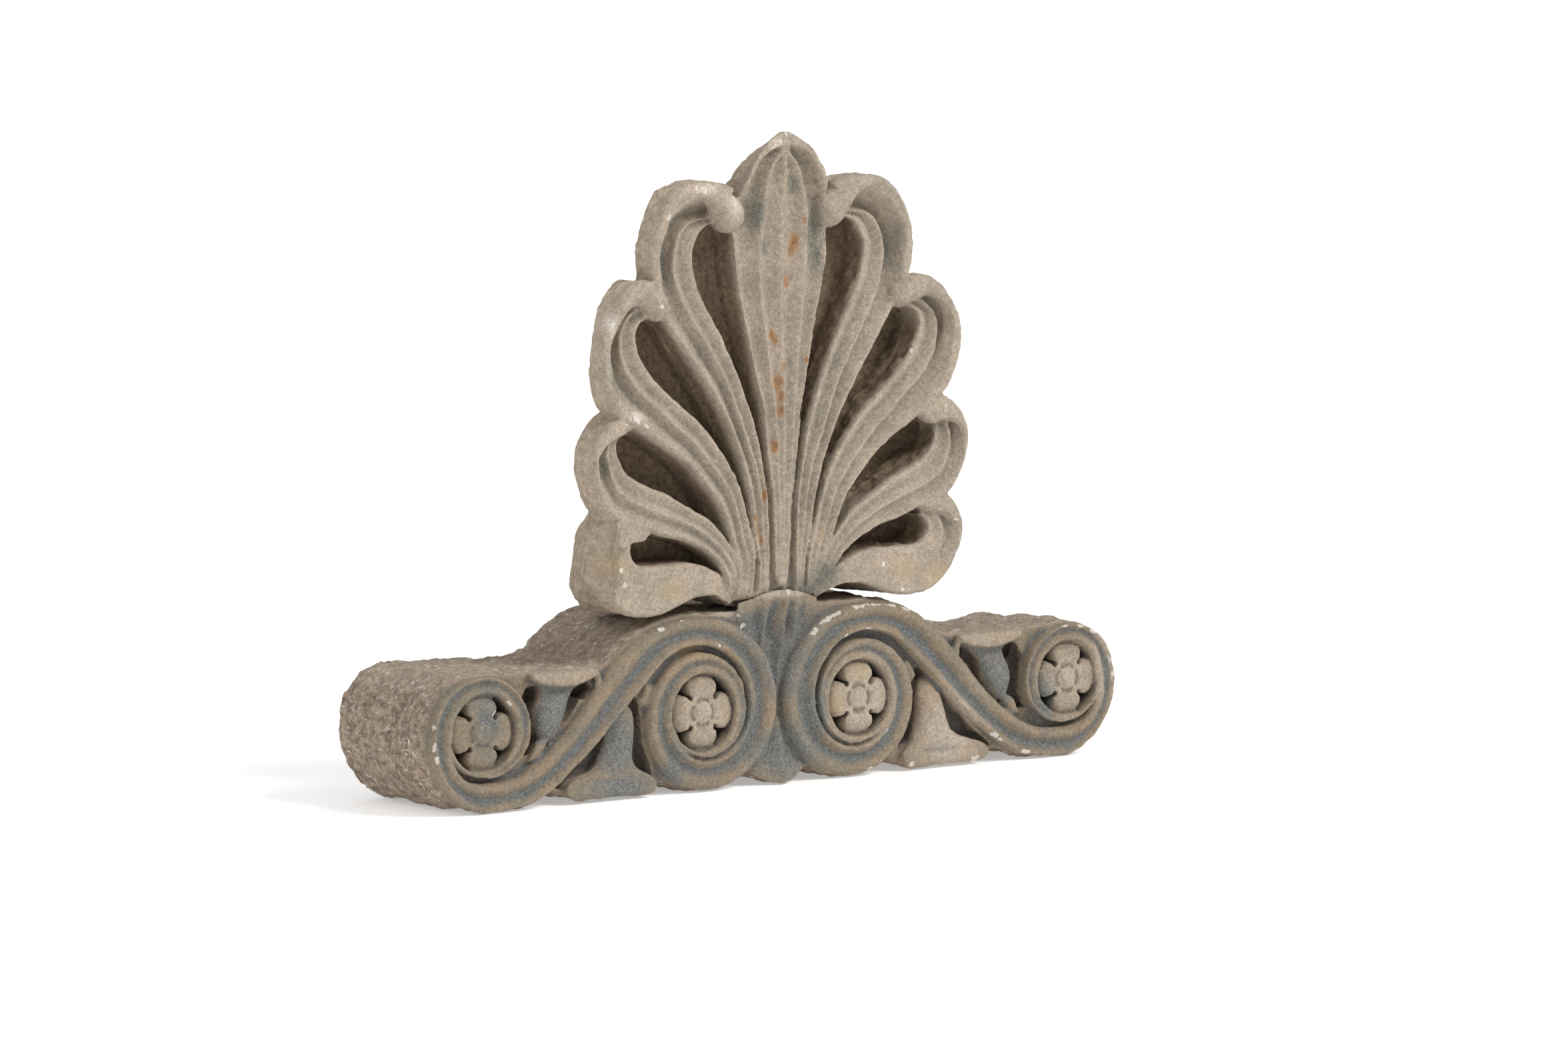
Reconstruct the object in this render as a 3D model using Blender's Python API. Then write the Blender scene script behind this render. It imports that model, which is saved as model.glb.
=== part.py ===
"""Carved stone antefix: an upright palmette standing on a base of linked scrolls.

Two stones, each one closed solid:
  scroll_base  the long lower stone: a pair of S-scrolls with rosettes in their four
               eyes, a calyx and a small leaf on the middle line, and leaves in the
               angles of the scrolls
  palmette     the fan of nine lobes with deep pockets between them, which rests by
               its own weight on the flat bed in the middle of the base

Frame: metres, +Z up, +X to the right, the carved face looks along -Y. The origin is
below the middle of the object, on the surface that it stands on.

The tables are in millimetres, as seen from the front: x from the middle line, z up
from the ground, and depth, which is the distance behind the face of the scrolls.
"""

import math

import bmesh
import bpy
from mathutils import Matrix, Vector

MM = 0.001

# Driving dimensions, in millimetres.
BASE_DEPTH = 172.0          # face of the scrolls to the back of the base
CALYX_PROUD = 7.0           # how far the calyx stands in front of the scrolls
BED_HEIGHT = 188.0          # top of the base, where the palmette rests
TOP_HEIGHT = 686.0          # tip of the palmette
JOINT_GAP = 0.3             # air between the two stones
INNER_EYE = (102.0, 84.0)   # centre of each inner scroll
OUTER_EYE = (383.0, 84.0)   # centre of each outer scroll
FACE_Y = CALYX_PROUD - (BASE_DEPTH + CALYX_PROUD) / 2

# The base.
GROUND_DEPTH = 14.0         # the sunk ground between the scrolls
ROOT_DEPTH = 42.0           # how deep the applied forms reach into the block
BODY_GROWTH = 4.0           # the block stands this much outside the scrolls' edges
EYE_RADIUS = 39.5
EYE_DEPTH = 27.0
TURN_STEP = 24.0            # degrees between two sections of a turn

# Turns of the scroll: angle in degrees, radius of its first edge and of its second.
# The first edge is the outer one in the inner scroll and the inner one in the outer.
INNER_TURN = ((640, 46.5, 40.0), (540, 54.0, 44.5), (450, 63.0, 44.0), (360, 72.0, 42.0),
              (270, 82.0, 49.5), (180, 98.0, 57.0), (90, 100.0, 70.0), (53, 113.0, 76.0))
OUTER_TURN = ((270, 51.5, 83.5), (300, 50.0, 74.0), (330, 45.0, 67.5), (360, 37.0, 64.0),
              (405, 38.0, 62.0), (450, 39.5, 59.0), (540, 41.5, 59.0), (585, 40.0, 53.0),
              (630, 38.5, 46.0), (650, 38.5, 43.5))
# The run between them: a point on the upper edge and one on the lower edge.
RUN = ((195, 160, 167, 128), (237, 121, 210, 88), (278, 76, 258, 45), (320, 45, 306, 12),
       (350, 34, 340, 3))
# Moulding across the scroll: place from the first edge to the second, and depth.
MOULDING = ((0.0, 6.0), (0.09, 0.5), (0.3, 7.5), (0.52, 9.0), (0.84, 0.0), (1.0, 6.0))
FULL_WIDTH = 40.0           # a narrower stretch has a shallower channel

LEDGE = ((246, 140), (300, 141.5), (350, 143))
FOOT = ((292, 13), (280, 12), (266, 4), (250, 3), (228, 8), (196, 5), (174, 3), (156, 10),
        (146, 17))
MIDDLE_FOOT = ((52, 16), (40, 14.5), (26, 7.5), (12, 2), (0, 0))

PETALS = 4
PETAL_RADIUS = 38.5
PETAL_DEPTH = 5.5
NOTCH_SHARE = 0.52          # how far a notch reaches towards the middle
NOTCH_ANGLE = 12.0          # degrees
BUTTON_RADIUS = 12.0
BUTTON_DEPTH = 0.5

# Leaves across the middle line: x, then height and depth from bottom to top.
CALYX = ((0, (80, 16), (120, 11), (150, 5), (176, -3), (198, -7), (207, -2)),
         (11, (84, 18), (122, 15), (150, 10), (175, 5), (196, 2), (206, 4)),
         (24, (90, 18), (125, 14), (150, 10), (174, 5), (194, 2), (204, 5)),
         (38, (100, 19), (130, 18), (152, 15), (172, 12), (190, 10), (201, 12)),
         (52, (110, 19), (135, 18), (155, 17), (170, 16), (182, 14), (192, 16)))
CALYX_BACK = 21.0           # stays clear of the palmette's root behind it
MIDDLE_LEAF = ((0, (0, 2), (7, -3), (22, 3), (45, 8), (72, 12)),
               (12, (3, 4), (9, 2), (24, 8), (42, 12), (62, 15)),
               (25, (9, 8), (15, 7), (24, 11), (36, 14), (46, 16)),
               (38, (15, 14), (19, 13), (23, 15), (27, 16), (31, 18)))
# Leaves in the angles: height, left x, right x, depth at the sides and in the middle,
# and how far the middle of the level dips.
BELL_LEAF = ((64, 294, 302, 16, 15, 0), (80, 274, 309, 15, 9, 0), (98, 262, 309, 15, 8, 0),
             (113, 254, 303, 15, 8, 0), (124, 244, 308, 11, 7, -4), (132, 231, 325, 3, 2, -8),
             (138, 240, 330, 8, 6, -3))
TULIP_LEAF = ((92, 193, 199, 16, 15, 0), (74, 182, 206, 15, 10, 0), (52, 168, 221, 15, 9, 0),
              (36, 158, 238, 13, 8, 0), (26, 152, 270, 9, 6, 0), (15, 150, 285, 4, 3, 2),
              (4, 160, 266, 8, 6, 4))
BUDS = (((164, 118), (172, 119), (183, 101), (176, 93), (164, 98)),
        ((296, 71), (308, 76), (318, 64), (324, 50), (306, 54)))
BUD_DEPTH = 7.0
WING_HOLES = ((250, 117), (314, 116))
WING_HOLE_RADIUS = 8.0
WING_HOLE_DEPTH = 34.0

# The palmette.
BACK_AT_FOOT = 108.0        # depth of its back at the bed
BACK_AT_TOP = 45.0          # depth of its back at the tip
BACK_TAPER = 0.85           # the back is narrower than the front
CORE_DEPTH = 31.0           # front of the core, under the ribs
RIB_ROOT = 46.0             # how deep the ribs reach into the core
POCKET_DEPTH = 56.0
POCKET_INSET = 1.5
FACE_CURVE = ((188, 29), (215, 26), (250, 19), (300, 15), (380, 13), (500, 12), (600, 8),
              (690, 0))
HALF_OUTLINE = (
    (62, 188), (69, 193), (80, 200), (95, 203), (115, 200), (140, 192), (163, 187),
    (186, 187), (206, 192), (223, 203), (233, 219), (236, 240), (233, 262), (226, 280),
    (219, 291), (231, 306), (240, 325), (243, 346), (240, 368), (230, 386), (217, 397),
    (208, 401), (222, 417), (231, 436), (233, 460), (230, 484), (218, 506), (200, 520),
    (182, 526), (168, 529), (171, 543), (171, 562), (165, 586), (153, 607), (134, 625),
    (112, 634), (92, 636), (73, 632), (58, 626), (55, 641), (46, 657), (32, 671),
    (16, 681))
# Ribs: a point on the pocket's side and one on the far side, from root to crown.
RIBS = (
    ((16, 204, 36, 203), (22, 270, 49, 262), (30, 342, 69, 330), (47, 405, 95, 388),
     (66, 455, 122, 437), (88, 500, 147, 475), (104, 532, 163, 516), (110, 558, 167, 555),
     (106, 577, 160, 588), (97, 588, 140, 617), (86, 592, 108, 632)),
    ((38, 203, 50, 201), (51, 252, 73, 244), (60, 298, 97, 292), (86, 352, 126, 329),
     (121, 398, 160, 361), (150, 424, 193, 388), (173, 448, 218, 418), (184, 470, 228, 450),
     (183, 484, 226, 484), (174, 492, 203, 514), (163, 494, 178, 522)),
    ((52, 201, 61, 199), (76, 241, 92, 239), (100, 290, 118, 256), (130, 308, 146, 267),
     (163, 324, 180, 273), (190, 337, 211, 294), (204, 352, 233, 320), (207, 367, 238, 348),
     (201, 378, 231, 378), (188, 382, 208, 394)),
    ((63, 199, 60, 191), (78, 226, 78, 201), (104, 240, 108, 203), (135, 243, 140, 195),
     (165, 243, 172, 191), (186, 246, 207, 197), (195, 256, 230, 230), (194, 265, 229, 258),
     (187, 270, 214, 282)),
)
STEM_ROWS = 4               # rows of a rib that need no rounding between them
# Across a rib: place from the pocket's side to the far side, and depth from the face.
RIB_SECTION = ((0.0, 2.0), (0.12, 0.0), (0.28, 4.0), (0.42, -4.0), (0.64, 3.5), (0.86, -3.0),
               (1.0, 3.0))
# The rolled rim of each lobe, which ends in a hook: x, height, radius and the depth of
# its foremost line.
HOOKS = (
    ((156, 522, 8, 9), (159, 558, 11, -2), (150, 588, 12, -3), (130, 609, 13, -3),
     (104, 621, 14, -3), (84, 617, 16, -3), (71, 604, 17, -2), (68, 592, 14, 1),
     (68, 584, 7, 8)),
    ((219, 434, 8, 9), (223, 464, 11, -2), (215, 487, 12, -3), (200, 503, 13, -3),
     (182, 510, 14, -2), (167, 507, 13, 1), (159, 502, 7, 8)),
    ((224, 320, 8, 9), (229, 348, 11, -2), (222, 369, 12, -3), (207, 381, 14, -3),
     (193, 381, 13, 0), (185, 376, 7, 8)),
    ((220, 228, 9, 10), (222, 253, 12, -2), (212, 270, 14, -3), (199, 278, 14.5, -1),
     (189, 276, 8, 7)),
)
# Pockets along their own middle line: x, height and half width.
POCKETS = (
    ((28, 345, 1.8), (35, 378, 3.5), (43, 405, 5), (56, 452, 9), (70, 498, 16),
     (80, 528, 21), (86, 553, 23), (86, 570, 21)),
    ((82, 356, 2), (91, 372, 5), (108, 396, 9), (127, 419, 13), (147, 445, 16.5),
     (163, 467, 18), (168, 475, 17)),
    ((104, 295, 2), (117, 307, 6), (133, 320, 10), (152, 335, 14), (172, 350, 16),
     (187, 361, 16.5)),
    ((98, 241, 1.8), (112, 246, 4.5), (130, 251, 8), (148, 255, 11), (168, 257, 13),
     (179, 257, 13.5)),
)
# The middle lobe: height and half width, then the moulding across its half.
MIDDLE_LOBE = ((191, 13), (215, 15), (250, 18), (300, 21), (340, 25), (370, 30), (400, 36),
               (430, 41), (460, 46), (500, 53), (530, 58), (560, 61), (590, 62), (615, 59),
               (635, 54), (652, 46), (666, 33), (677, 18), (683, 7))
LOBE_SECTION = ((0.0, -6.0), (0.26, 1.5), (0.5, -5.0), (0.76, 3.0), (1.0, 1.0))

STONE_ROUGHNESS = 0.85
BASE_COLOUR = (0.36, 0.33, 0.29, 1.0)
PALMETTE_COLOUR = (0.50, 0.43, 0.34, 1.0)


FLAT_ANGLE = 0.001          # radians; faces closer than this to one plane are made one
# Turns the XY plane into the front view without rounding.
UPRIGHT = Matrix(((1, 0, 0, 0), (0, 0, -1, 0), (0, 1, 0, 0), (0, 0, 0, 1)))


# --- small geometry helpers --------------------------------------------------------

def place(x, z, depth):
    """Point of the front view, in metres."""
    return Vector((x * MM, (FACE_Y + depth) * MM, z * MM))


def smooth(rows, steps):
    """Catmull-Rom curve through rows of numbers, with a few steps between two rows."""
    ends = [tuple(2 * a - b for a, b in zip(rows[0], rows[1]))]
    ends += list(rows) + [tuple(2 * a - b for a, b in zip(rows[-1], rows[-2]))]
    curve = []
    for before, start, end, after in zip(ends, ends[1:], ends[2:], ends[3:]):
        for step in range(steps):
            t = step / steps
            curve.append(tuple(
                b + t / 2 * (c - a + t * (2 * a - 5 * b + 4 * c - d + t * (3 * (b - c) + d - a)))
                for a, b, c, d in zip(before, start, end, after)))
    return curve + [tuple(rows[-1])]


def between(rows, key):
    """Values at a key, on straight lines between rows that start with their key."""
    rows = sorted(rows)
    key = min(max(key, rows[0][0]), rows[-1][0])
    for low, high in zip(rows, rows[1:]):
        if key <= high[0]:
            t = (key - low[0]) / (high[0] - low[0])
            return tuple(a + t * (b - a) for a, b in zip(low[1:], high[1:]))
    return rows[-1][1:]


def polar(centre, degrees, radius):
    """Point at an angle and a distance from a centre."""
    angle = math.radians(degrees)
    return (centre[0] + radius * math.cos(angle), centre[1] + radius * math.sin(angle))


def outwards(point, other, distance):
    """The point, moved away from another one."""
    dx, dz = point[0] - other[0], point[1] - other[1]
    share = distance / math.hypot(dx, dz)
    return (point[0] + dx * share, point[1] + dz * share)


def link(name, mesh, collection):
    """New object in one collection."""
    item = bpy.data.objects.new(name, mesh)
    collection.objects.link(item)
    return item


def finish_bmesh(name, shape, collection):
    """Turn a bmesh into an object whose faces point out."""
    bmesh.ops.recalc_face_normals(shape, faces=shape.faces)
    mesh = bpy.data.meshes.new(name)
    shape.to_mesh(mesh)
    shape.free()
    return link(name, mesh, collection)


def loft(name, rings, collection):
    """Closed solid through rings of the same number of points."""
    shape = bmesh.new()
    loops = [[shape.verts.new(point) for point in ring] for ring in rings]
    for near, far in zip(loops, loops[1:]):
        for i, corner in enumerate(near):
            shape.faces.new((near[i - 1], corner, far[i], far[i - 1]))
    shape.faces.new(loops[0])
    shape.faces.new(loops[-1])
    return finish_bmesh(name, shape, collection)


def made_mesh(curve, collection):
    """A curve object as a welded mesh object in its place."""
    bpy.context.view_layer.update()
    evaluated = curve.evaluated_get(bpy.context.evaluated_depsgraph_get())
    mesh = bpy.data.meshes.new_from_object(evaluated)
    shape = bmesh.new()
    shape.from_mesh(mesh)
    bmesh.ops.remove_doubles(shape, verts=shape.verts, dist=0.00001)
    bmesh.ops.dissolve_limit(shape, angle_limit=FLAT_ANGLE, verts=shape.verts, edges=shape.edges)
    bmesh.ops.recalc_face_normals(shape, faces=shape.faces)
    shape.to_mesh(mesh)
    shape.free()
    name = curve.name
    bpy.data.objects.remove(curve)
    return link(name, mesh, collection)


def stood_up(item, centre, front, back):
    """Turn a mesh that lies flat round the origin into the front view, at a depth."""
    middle = place(centre[0], centre[1], (front + back) / 2)
    item.data.transform(Matrix.Translation(middle) @ UPRIGHT)
    return item


def slab(name, outline, front, back, collection):
    """Flat outline in the front view, extruded from one depth to another."""
    curve = bpy.data.curves.new(name, "CURVE")
    curve.dimensions = "2D"
    curve.fill_mode = "BOTH"
    curve.extrude = (back - front) / 2 * MM
    line = curve.splines.new("POLY")
    line.points.add(len(outline) - 1)
    for point, (x, z) in zip(line.points, outline):
        point.co = (x * MM, z * MM, 0.0, 1.0)
    line.use_cyclic_u = True
    return stood_up(made_mesh(link(name, curve, collection), collection), (0, 0), front, back)


def rod(name, centre, radius, front, back, sides, collection):
    """Round bar along Y."""
    shape = bmesh.new()
    bmesh.ops.create_cone(shape, cap_ends=True, segments=sides, radius1=radius * MM,
                          radius2=radius * MM, depth=(back - front) * MM)
    return stood_up(finish_bmesh(name, shape, collection), centre, front, back)


def tube(name, rows, collection):
    """Bar of changing radius, set by the depth of its foremost line."""
    curve = bpy.data.curves.new(name, "CURVE")
    curve.dimensions = "3D"
    curve.bevel_depth = MM
    curve.bevel_resolution = 2
    curve.use_fill_caps = True
    line = curve.splines.new("POLY")
    line.points.add(len(rows) - 1)
    for point, (x, z, radius, crest) in zip(line.points, rows):
        point.co = (*place(x, z, crest + radius), 1.0)
        point.radius = radius
    return made_mesh(link(name, curve, collection), collection)


def mirrored(item, collection):
    """Copy of a mesh object on the other side of the middle line."""
    mesh = item.data.copy()
    mesh.transform(Matrix.Scale(-1.0, 4, Vector((1.0, 0.0, 0.0))))
    mesh.flip_normals()
    return link(item.name + "_left", mesh, collection)


def combine(body, tool, operation):
    """Join a tool to a body, or cut it away, with a Boolean modifier."""
    tool.hide_render = True
    tool.display_type = "WIRE"
    change = body.modifiers.new(tool.name, "BOOLEAN")
    change.object = tool
    change.operation = operation
    change.solver = "EXACT"


def stone(name, colour):
    """Dull stone of one colour."""
    material = bpy.data.materials.new(name)
    material.use_nodes = True
    shader = material.node_tree.nodes["Principled BSDF"]
    shader.inputs["Base Color"].default_value = colour
    shader.inputs["Roughness"].default_value = STONE_ROUGHNESS
    shader.inputs["Metallic"].default_value = 0.0
    return material


# --- the base -----------------------------------------------------------------------

def turn(eye, rows):
    """Pairs of edge points round an eye, at even steps of the angle."""
    first, last = rows[0][0], rows[-1][0]
    count = round(abs(last - first) / TURN_STEP)
    pairs = []
    for step in range(count + 1):
        angle = first + (last - first) * step / count
        radii = between(rows, angle)
        pairs.append((*polar(eye, angle, radii[0]), *polar(eye, angle, radii[1])))
    return pairs


def scroll_pairs():
    """Edge points of a right-hand scroll, from the inner eye to the outer one."""
    inner, outer = turn(INNER_EYE, INNER_TURN), turn(OUTER_EYE, OUTER_TURN)
    run = smooth([inner[-1], *RUN, outer[0]], 2)
    return inner, run[1:-1], outer


def scroll_ring(pair):
    """Section of the scroll between a pair of edge points."""
    first, second = Vector(pair[:2]), Vector(pair[2:])
    share = min(1.0, (second - first).length / FULL_WIDTH)
    ring = [place(*first, ROOT_DEPTH)]
    for along, depth in MOULDING:
        ring.append(place(*first.lerp(second, along), depth * share))
    ring.append(place(*second, ROOT_DEPTH))
    return ring


def base_outline():
    """Outline of the block, a little outside the scrolls and never below the ground."""
    inner, run, outer = scroll_pairs()
    crown = [outwards(pair[:2], pair[2:], BODY_GROWTH) for pair in inner[-3:] + run]
    crown = [point for point in crown if point[1] > LEDGE[0][1] + 5 and point[0] > INNER_EYE[0]]
    end = [outwards(pair[2:], pair[:2], BODY_GROWTH) for pair in outer]
    end = [point for point in end[:12] if point[0] > OUTER_EYE[0] - 20]
    under = [outwards(pair[2:], pair[:2], BODY_GROWTH / 2) for pair in run if pair[2] > 296]
    belly = [polar(INNER_EYE, angle, between(INNER_TURN, angle)[0] + BODY_GROWTH)
             for angle in range(300, 225, -15)]
    half = [(INNER_EYE[0], BED_HEIGHT), *crown, *LEDGE, *reversed(end), *reversed(under),
            *FOOT, *belly, *MIDDLE_FOOT]
    half = [(x, max(z, 0.0)) for x, z in half]
    return half + [(-x, z) for x, z in reversed(half[:-1])]


def rosette_outline(eye):
    """Four broad petals parted by notches."""
    outline = []
    steps = 8 * PETALS
    for step in range(steps):
        angle = 360.0 * step / steps
        off_notch = (angle % (360.0 / PETALS) - 180.0 / PETALS) / NOTCH_ANGLE
        outline.append(polar(eye, angle,
                             PETAL_RADIUS * (1 - NOTCH_SHARE * math.exp(-off_notch ** 2))))
    return outline


def cross_leaf(name, half, back, collection):
    """Leaf across the middle line, from sections at several x."""
    rings = []
    for x, *front in [(-row[0], *row[1:]) for row in half[:0:-1]] + list(half):
        ring = [place(x, z, depth) for z, depth in front]
        top, bottom = front[-1][0], front[0][0]
        if top > BED_HEIGHT:
            ring += [place(x, top, back), place(x, BED_HEIGHT - 4, back),
                     place(x, BED_HEIGHT - 8, ROOT_DEPTH)]
        else:
            ring += [place(x, top, ROOT_DEPTH), place(x, (2 * top + bottom) / 3, ROOT_DEPTH),
                     place(x, (top + 2 * bottom) / 3, ROOT_DEPTH)]
        ring.append(place(x, bottom, ROOT_DEPTH))
        rings.append(ring)
    return loft(name, rings, collection)


def angle_leaf(name, levels, collection):
    """Leaf in the angle of a scroll, from sections at several heights."""
    rings = []
    for z, left, right, side, middle, dip in levels:
        front = ((0.0, side, 0.0), (0.25, (side + middle) / 2, 0.4), (0.5, middle, 1.0),
                 (0.75, (side + middle) / 2, 0.4), (1.0, side, 0.0))
        ring = [place(left + (right - left) * along, z + dip * share, depth)
                for along, depth, share in front]
        ring += [place(right, z, ROOT_DEPTH), place(left, z, ROOT_DEPTH)]
        rings.append(ring)
    return loft(name, rings, collection)


def build_base(parts, tools):
    """The long lower stone."""
    body = slab("scroll_base", base_outline(), GROUND_DEPTH, BASE_DEPTH, parts)
    body.data.materials.append(stone("weathered_grey_stone", BASE_COLOUR))

    holes = [rod("eye_hole", eye, EYE_RADIUS, -5, EYE_DEPTH, 24, tools)
             for eye in (INNER_EYE, OUTER_EYE)]
    holes += [rod("wing_hole", spot, WING_HOLE_RADIUS, -5, WING_HOLE_DEPTH, 8, tools)
              for spot in WING_HOLES]
    for hole in holes:
        combine(body, hole, "DIFFERENCE")
        combine(body, mirrored(hole, tools), "DIFFERENCE")

    inner, run, outer = scroll_pairs()
    forms = [loft("scroll", [scroll_ring(pair) for pair in inner + run + outer], tools)]
    for eye in (INNER_EYE, OUTER_EYE):
        forms.append(slab("rosette", rosette_outline(eye), PETAL_DEPTH, ROOT_DEPTH, tools))
        forms.append(rod("button", eye, BUTTON_RADIUS, BUTTON_DEPTH, ROOT_DEPTH - 4, 12, tools))
    forms.append(angle_leaf("bell_leaf", BELL_LEAF, tools))
    forms.append(angle_leaf("tulip_leaf", TULIP_LEAF, tools))
    forms += [slab("bud", outline, BUD_DEPTH, ROOT_DEPTH - 6, tools) for outline in BUDS]
    for form in forms:
        combine(body, form, "UNION")
        combine(body, mirrored(form, tools), "UNION")
    combine(body, cross_leaf("calyx", CALYX, CALYX_BACK, tools), "UNION")
    combine(body, cross_leaf("middle_leaf", MIDDLE_LEAF, ROOT_DEPTH, tools), "UNION")
    return body


# --- the palmette -------------------------------------------------------------------

def face_depth(z):
    """Depth of the palmette's face at a height: sunk at the root, forward at the tip."""
    return between(FACE_CURVE, z)[0]


def palmette_core(collection):
    """Tapering core with a sloping back."""
    foot = BED_HEIGHT + JOINT_GAP
    half = [(x, max(z, foot)) for x, z in HALF_OUTLINE]
    outline = half + [(0.0, TOP_HEIGHT)] + [(-x, z) for x, z in reversed(half)]
    slope = (BACK_AT_TOP - BACK_AT_FOOT) / (TOP_HEIGHT - foot)
    front = [place(x, z, CORE_DEPTH) for x, z in outline]
    back = [place(x * BACK_TAPER, z, BACK_AT_FOOT + slope * (z - foot)) for x, z in outline]
    return loft("palmette", [front, back], collection)


def pocket_outline(rows):
    """Drop-shaped outline round a middle line, with a round outer end."""
    line = smooth(rows, 2)
    left, right = [], []
    for i, (x, z, half_width) in enumerate(line):
        ahead, behind = line[min(i + 1, len(line) - 1)], line[max(i - 1, 0)]
        along = Vector((ahead[0] - behind[0], ahead[1] - behind[1])).normalized()
        width = max(half_width - POCKET_INSET, 0.6)
        left.append((x - along.y * width, z + along.x * width))
        right.append((x + along.y * width, z - along.x * width))
    x, z, _ = line[-1]
    heading = math.degrees(math.atan2(along.y, along.x))
    end = [polar((x, z), heading + angle, width) for angle in (-60, -30, 0, 30, 60)]
    return right + end + list(reversed(left))


def rib(rows, collection):
    """Moulded rib between a pocket and its neighbour."""
    rings = []
    stem = rows[:STEM_ROWS]
    for row in stem + tuple(smooth(rows[STEM_ROWS:], 2)):
        inner, outer = Vector(row[:2]), Vector(row[2:])
        share = min(1.0, (outer - inner).length / FULL_WIDTH)
        ring = [place(*inner, RIB_ROOT)]
        for along, depth in RIB_SECTION:
            x, z = inner.lerp(outer, along)
            ring.append(place(x, z, face_depth(z) + depth * share))
        ring.append(place(*outer, RIB_ROOT))
        rings.append(ring)
    return loft("rib", rings, collection)


def middle_lobe(collection):
    """The middle lobe, with a spine and two flank ridges."""
    rings = []
    for z, half_width in MIDDLE_LOBE:
        share = min(1.0, half_width / FULL_WIDTH)
        half = [(along * half_width, face_depth(z) + depth * share)
                for along, depth in LOBE_SECTION]
        section = [(-x, depth) for x, depth in half[:0:-1]] + half
        ring = [place(x, z, depth) for x, depth in section]
        ring += [place(half_width, z, RIB_ROOT - 3), place(-half_width, z, RIB_ROOT - 3)]
        rings.append(ring)
    return loft("middle_lobe", rings, collection)


def build_palmette(parts, tools):
    """The upright fan."""
    body = palmette_core(parts)
    body.data.materials.append(stone("buff_stone", PALMETTE_COLOUR))
    for rows in POCKETS:
        pocket = slab("pocket", pocket_outline(rows), CORE_DEPTH - 10, POCKET_DEPTH, tools)
        combine(body, pocket, "DIFFERENCE")
        combine(body, mirrored(pocket, tools), "DIFFERENCE")
    combine(body, middle_lobe(tools), "UNION")
    for rib_rows, hook_rows in zip(RIBS, HOOKS):
        for form in (rib(rib_rows, tools), tube("hook", hook_rows, tools)):
            combine(body, form, "UNION")
            combine(body, mirrored(form, tools), "UNION")
    return body


def main():
    """Clear the scene and build both stones."""
    for item in list(bpy.data.objects):
        bpy.data.objects.remove(item)
    parts = bpy.data.collections.new("antefix")
    tools = bpy.data.collections.new("antefix_tools")
    for collection in (parts, tools):
        bpy.context.scene.collection.children.link(collection)
    build_base(parts, tools)
    build_palmette(parts, tools)


main()
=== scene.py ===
"""Dresses the two stones of a carved antefix: the long scroll base and the palmette on it.

Each stone is carved again at full detail from the same named sizes as the solid that it
stands for, fused into one skin, weathered, and given a procedural stone finish.

Tables are in millimetres in the front view: x from the middle line, z up from the ground,
and depth, which is the distance behind the face of the scrolls. Points are in millimetres
in the frame's own axes until a mesh is made of them.
"""

import itertools
import logging
import math
from collections.abc import Iterable, Sequence
from dataclasses import dataclass
from enum import Enum

import bmesh
import bpy
import numpy as np
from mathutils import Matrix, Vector


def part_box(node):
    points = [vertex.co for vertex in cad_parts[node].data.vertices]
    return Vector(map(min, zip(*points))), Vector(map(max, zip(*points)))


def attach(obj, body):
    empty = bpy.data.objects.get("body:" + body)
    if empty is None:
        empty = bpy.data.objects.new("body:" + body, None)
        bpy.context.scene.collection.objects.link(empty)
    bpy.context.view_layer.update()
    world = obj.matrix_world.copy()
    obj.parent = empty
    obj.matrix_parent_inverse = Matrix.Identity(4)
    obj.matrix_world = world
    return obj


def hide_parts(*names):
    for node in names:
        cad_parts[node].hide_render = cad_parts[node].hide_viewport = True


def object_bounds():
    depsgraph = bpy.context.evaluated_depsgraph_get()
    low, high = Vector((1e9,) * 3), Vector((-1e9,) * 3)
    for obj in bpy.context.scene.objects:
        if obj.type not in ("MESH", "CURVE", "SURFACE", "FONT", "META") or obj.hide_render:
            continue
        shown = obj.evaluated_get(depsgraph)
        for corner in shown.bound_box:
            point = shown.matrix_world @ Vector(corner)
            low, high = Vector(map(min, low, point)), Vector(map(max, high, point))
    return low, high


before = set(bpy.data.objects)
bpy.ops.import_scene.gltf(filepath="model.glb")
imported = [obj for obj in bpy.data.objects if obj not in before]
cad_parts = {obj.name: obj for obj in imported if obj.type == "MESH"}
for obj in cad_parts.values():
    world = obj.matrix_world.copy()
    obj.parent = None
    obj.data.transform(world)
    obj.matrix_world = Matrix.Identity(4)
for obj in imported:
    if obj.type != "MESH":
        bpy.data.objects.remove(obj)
CAD_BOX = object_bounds()

LOG = logging.getLogger("antefix")
Table = Sequence[Sequence[float]]
Span = tuple[float, float]
Point = tuple[float, float]
Colour = tuple[float, float, float, float]

MM = 0.001
BASE_DEPTH = 172.0          # face of the scrolls to the back of the base
FACE_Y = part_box("scroll_base")[1].y / MM - BASE_DEPTH
BED_HEIGHT = 188.0          # top of the base, where the palmette rests
JOINT_GAP = 0.3             # air between the two stones
SKIN_VOXEL = 1.35           # the fused skin's grain
PIECE_TRIANGLES = 190_000   # the most that a finished stone keeps
CAP_ANGLES = (85, 65, 45, 22)   # rings of a bar's round end, in degrees from its side


# --- curves and closed forms -------------------------------------------------------

def at(x: float, z: float, depth: float) -> tuple[float, float, float]:
    """A front-view place in the frame's axes, in millimetres."""
    return (x, FACE_Y + depth, z)


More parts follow.
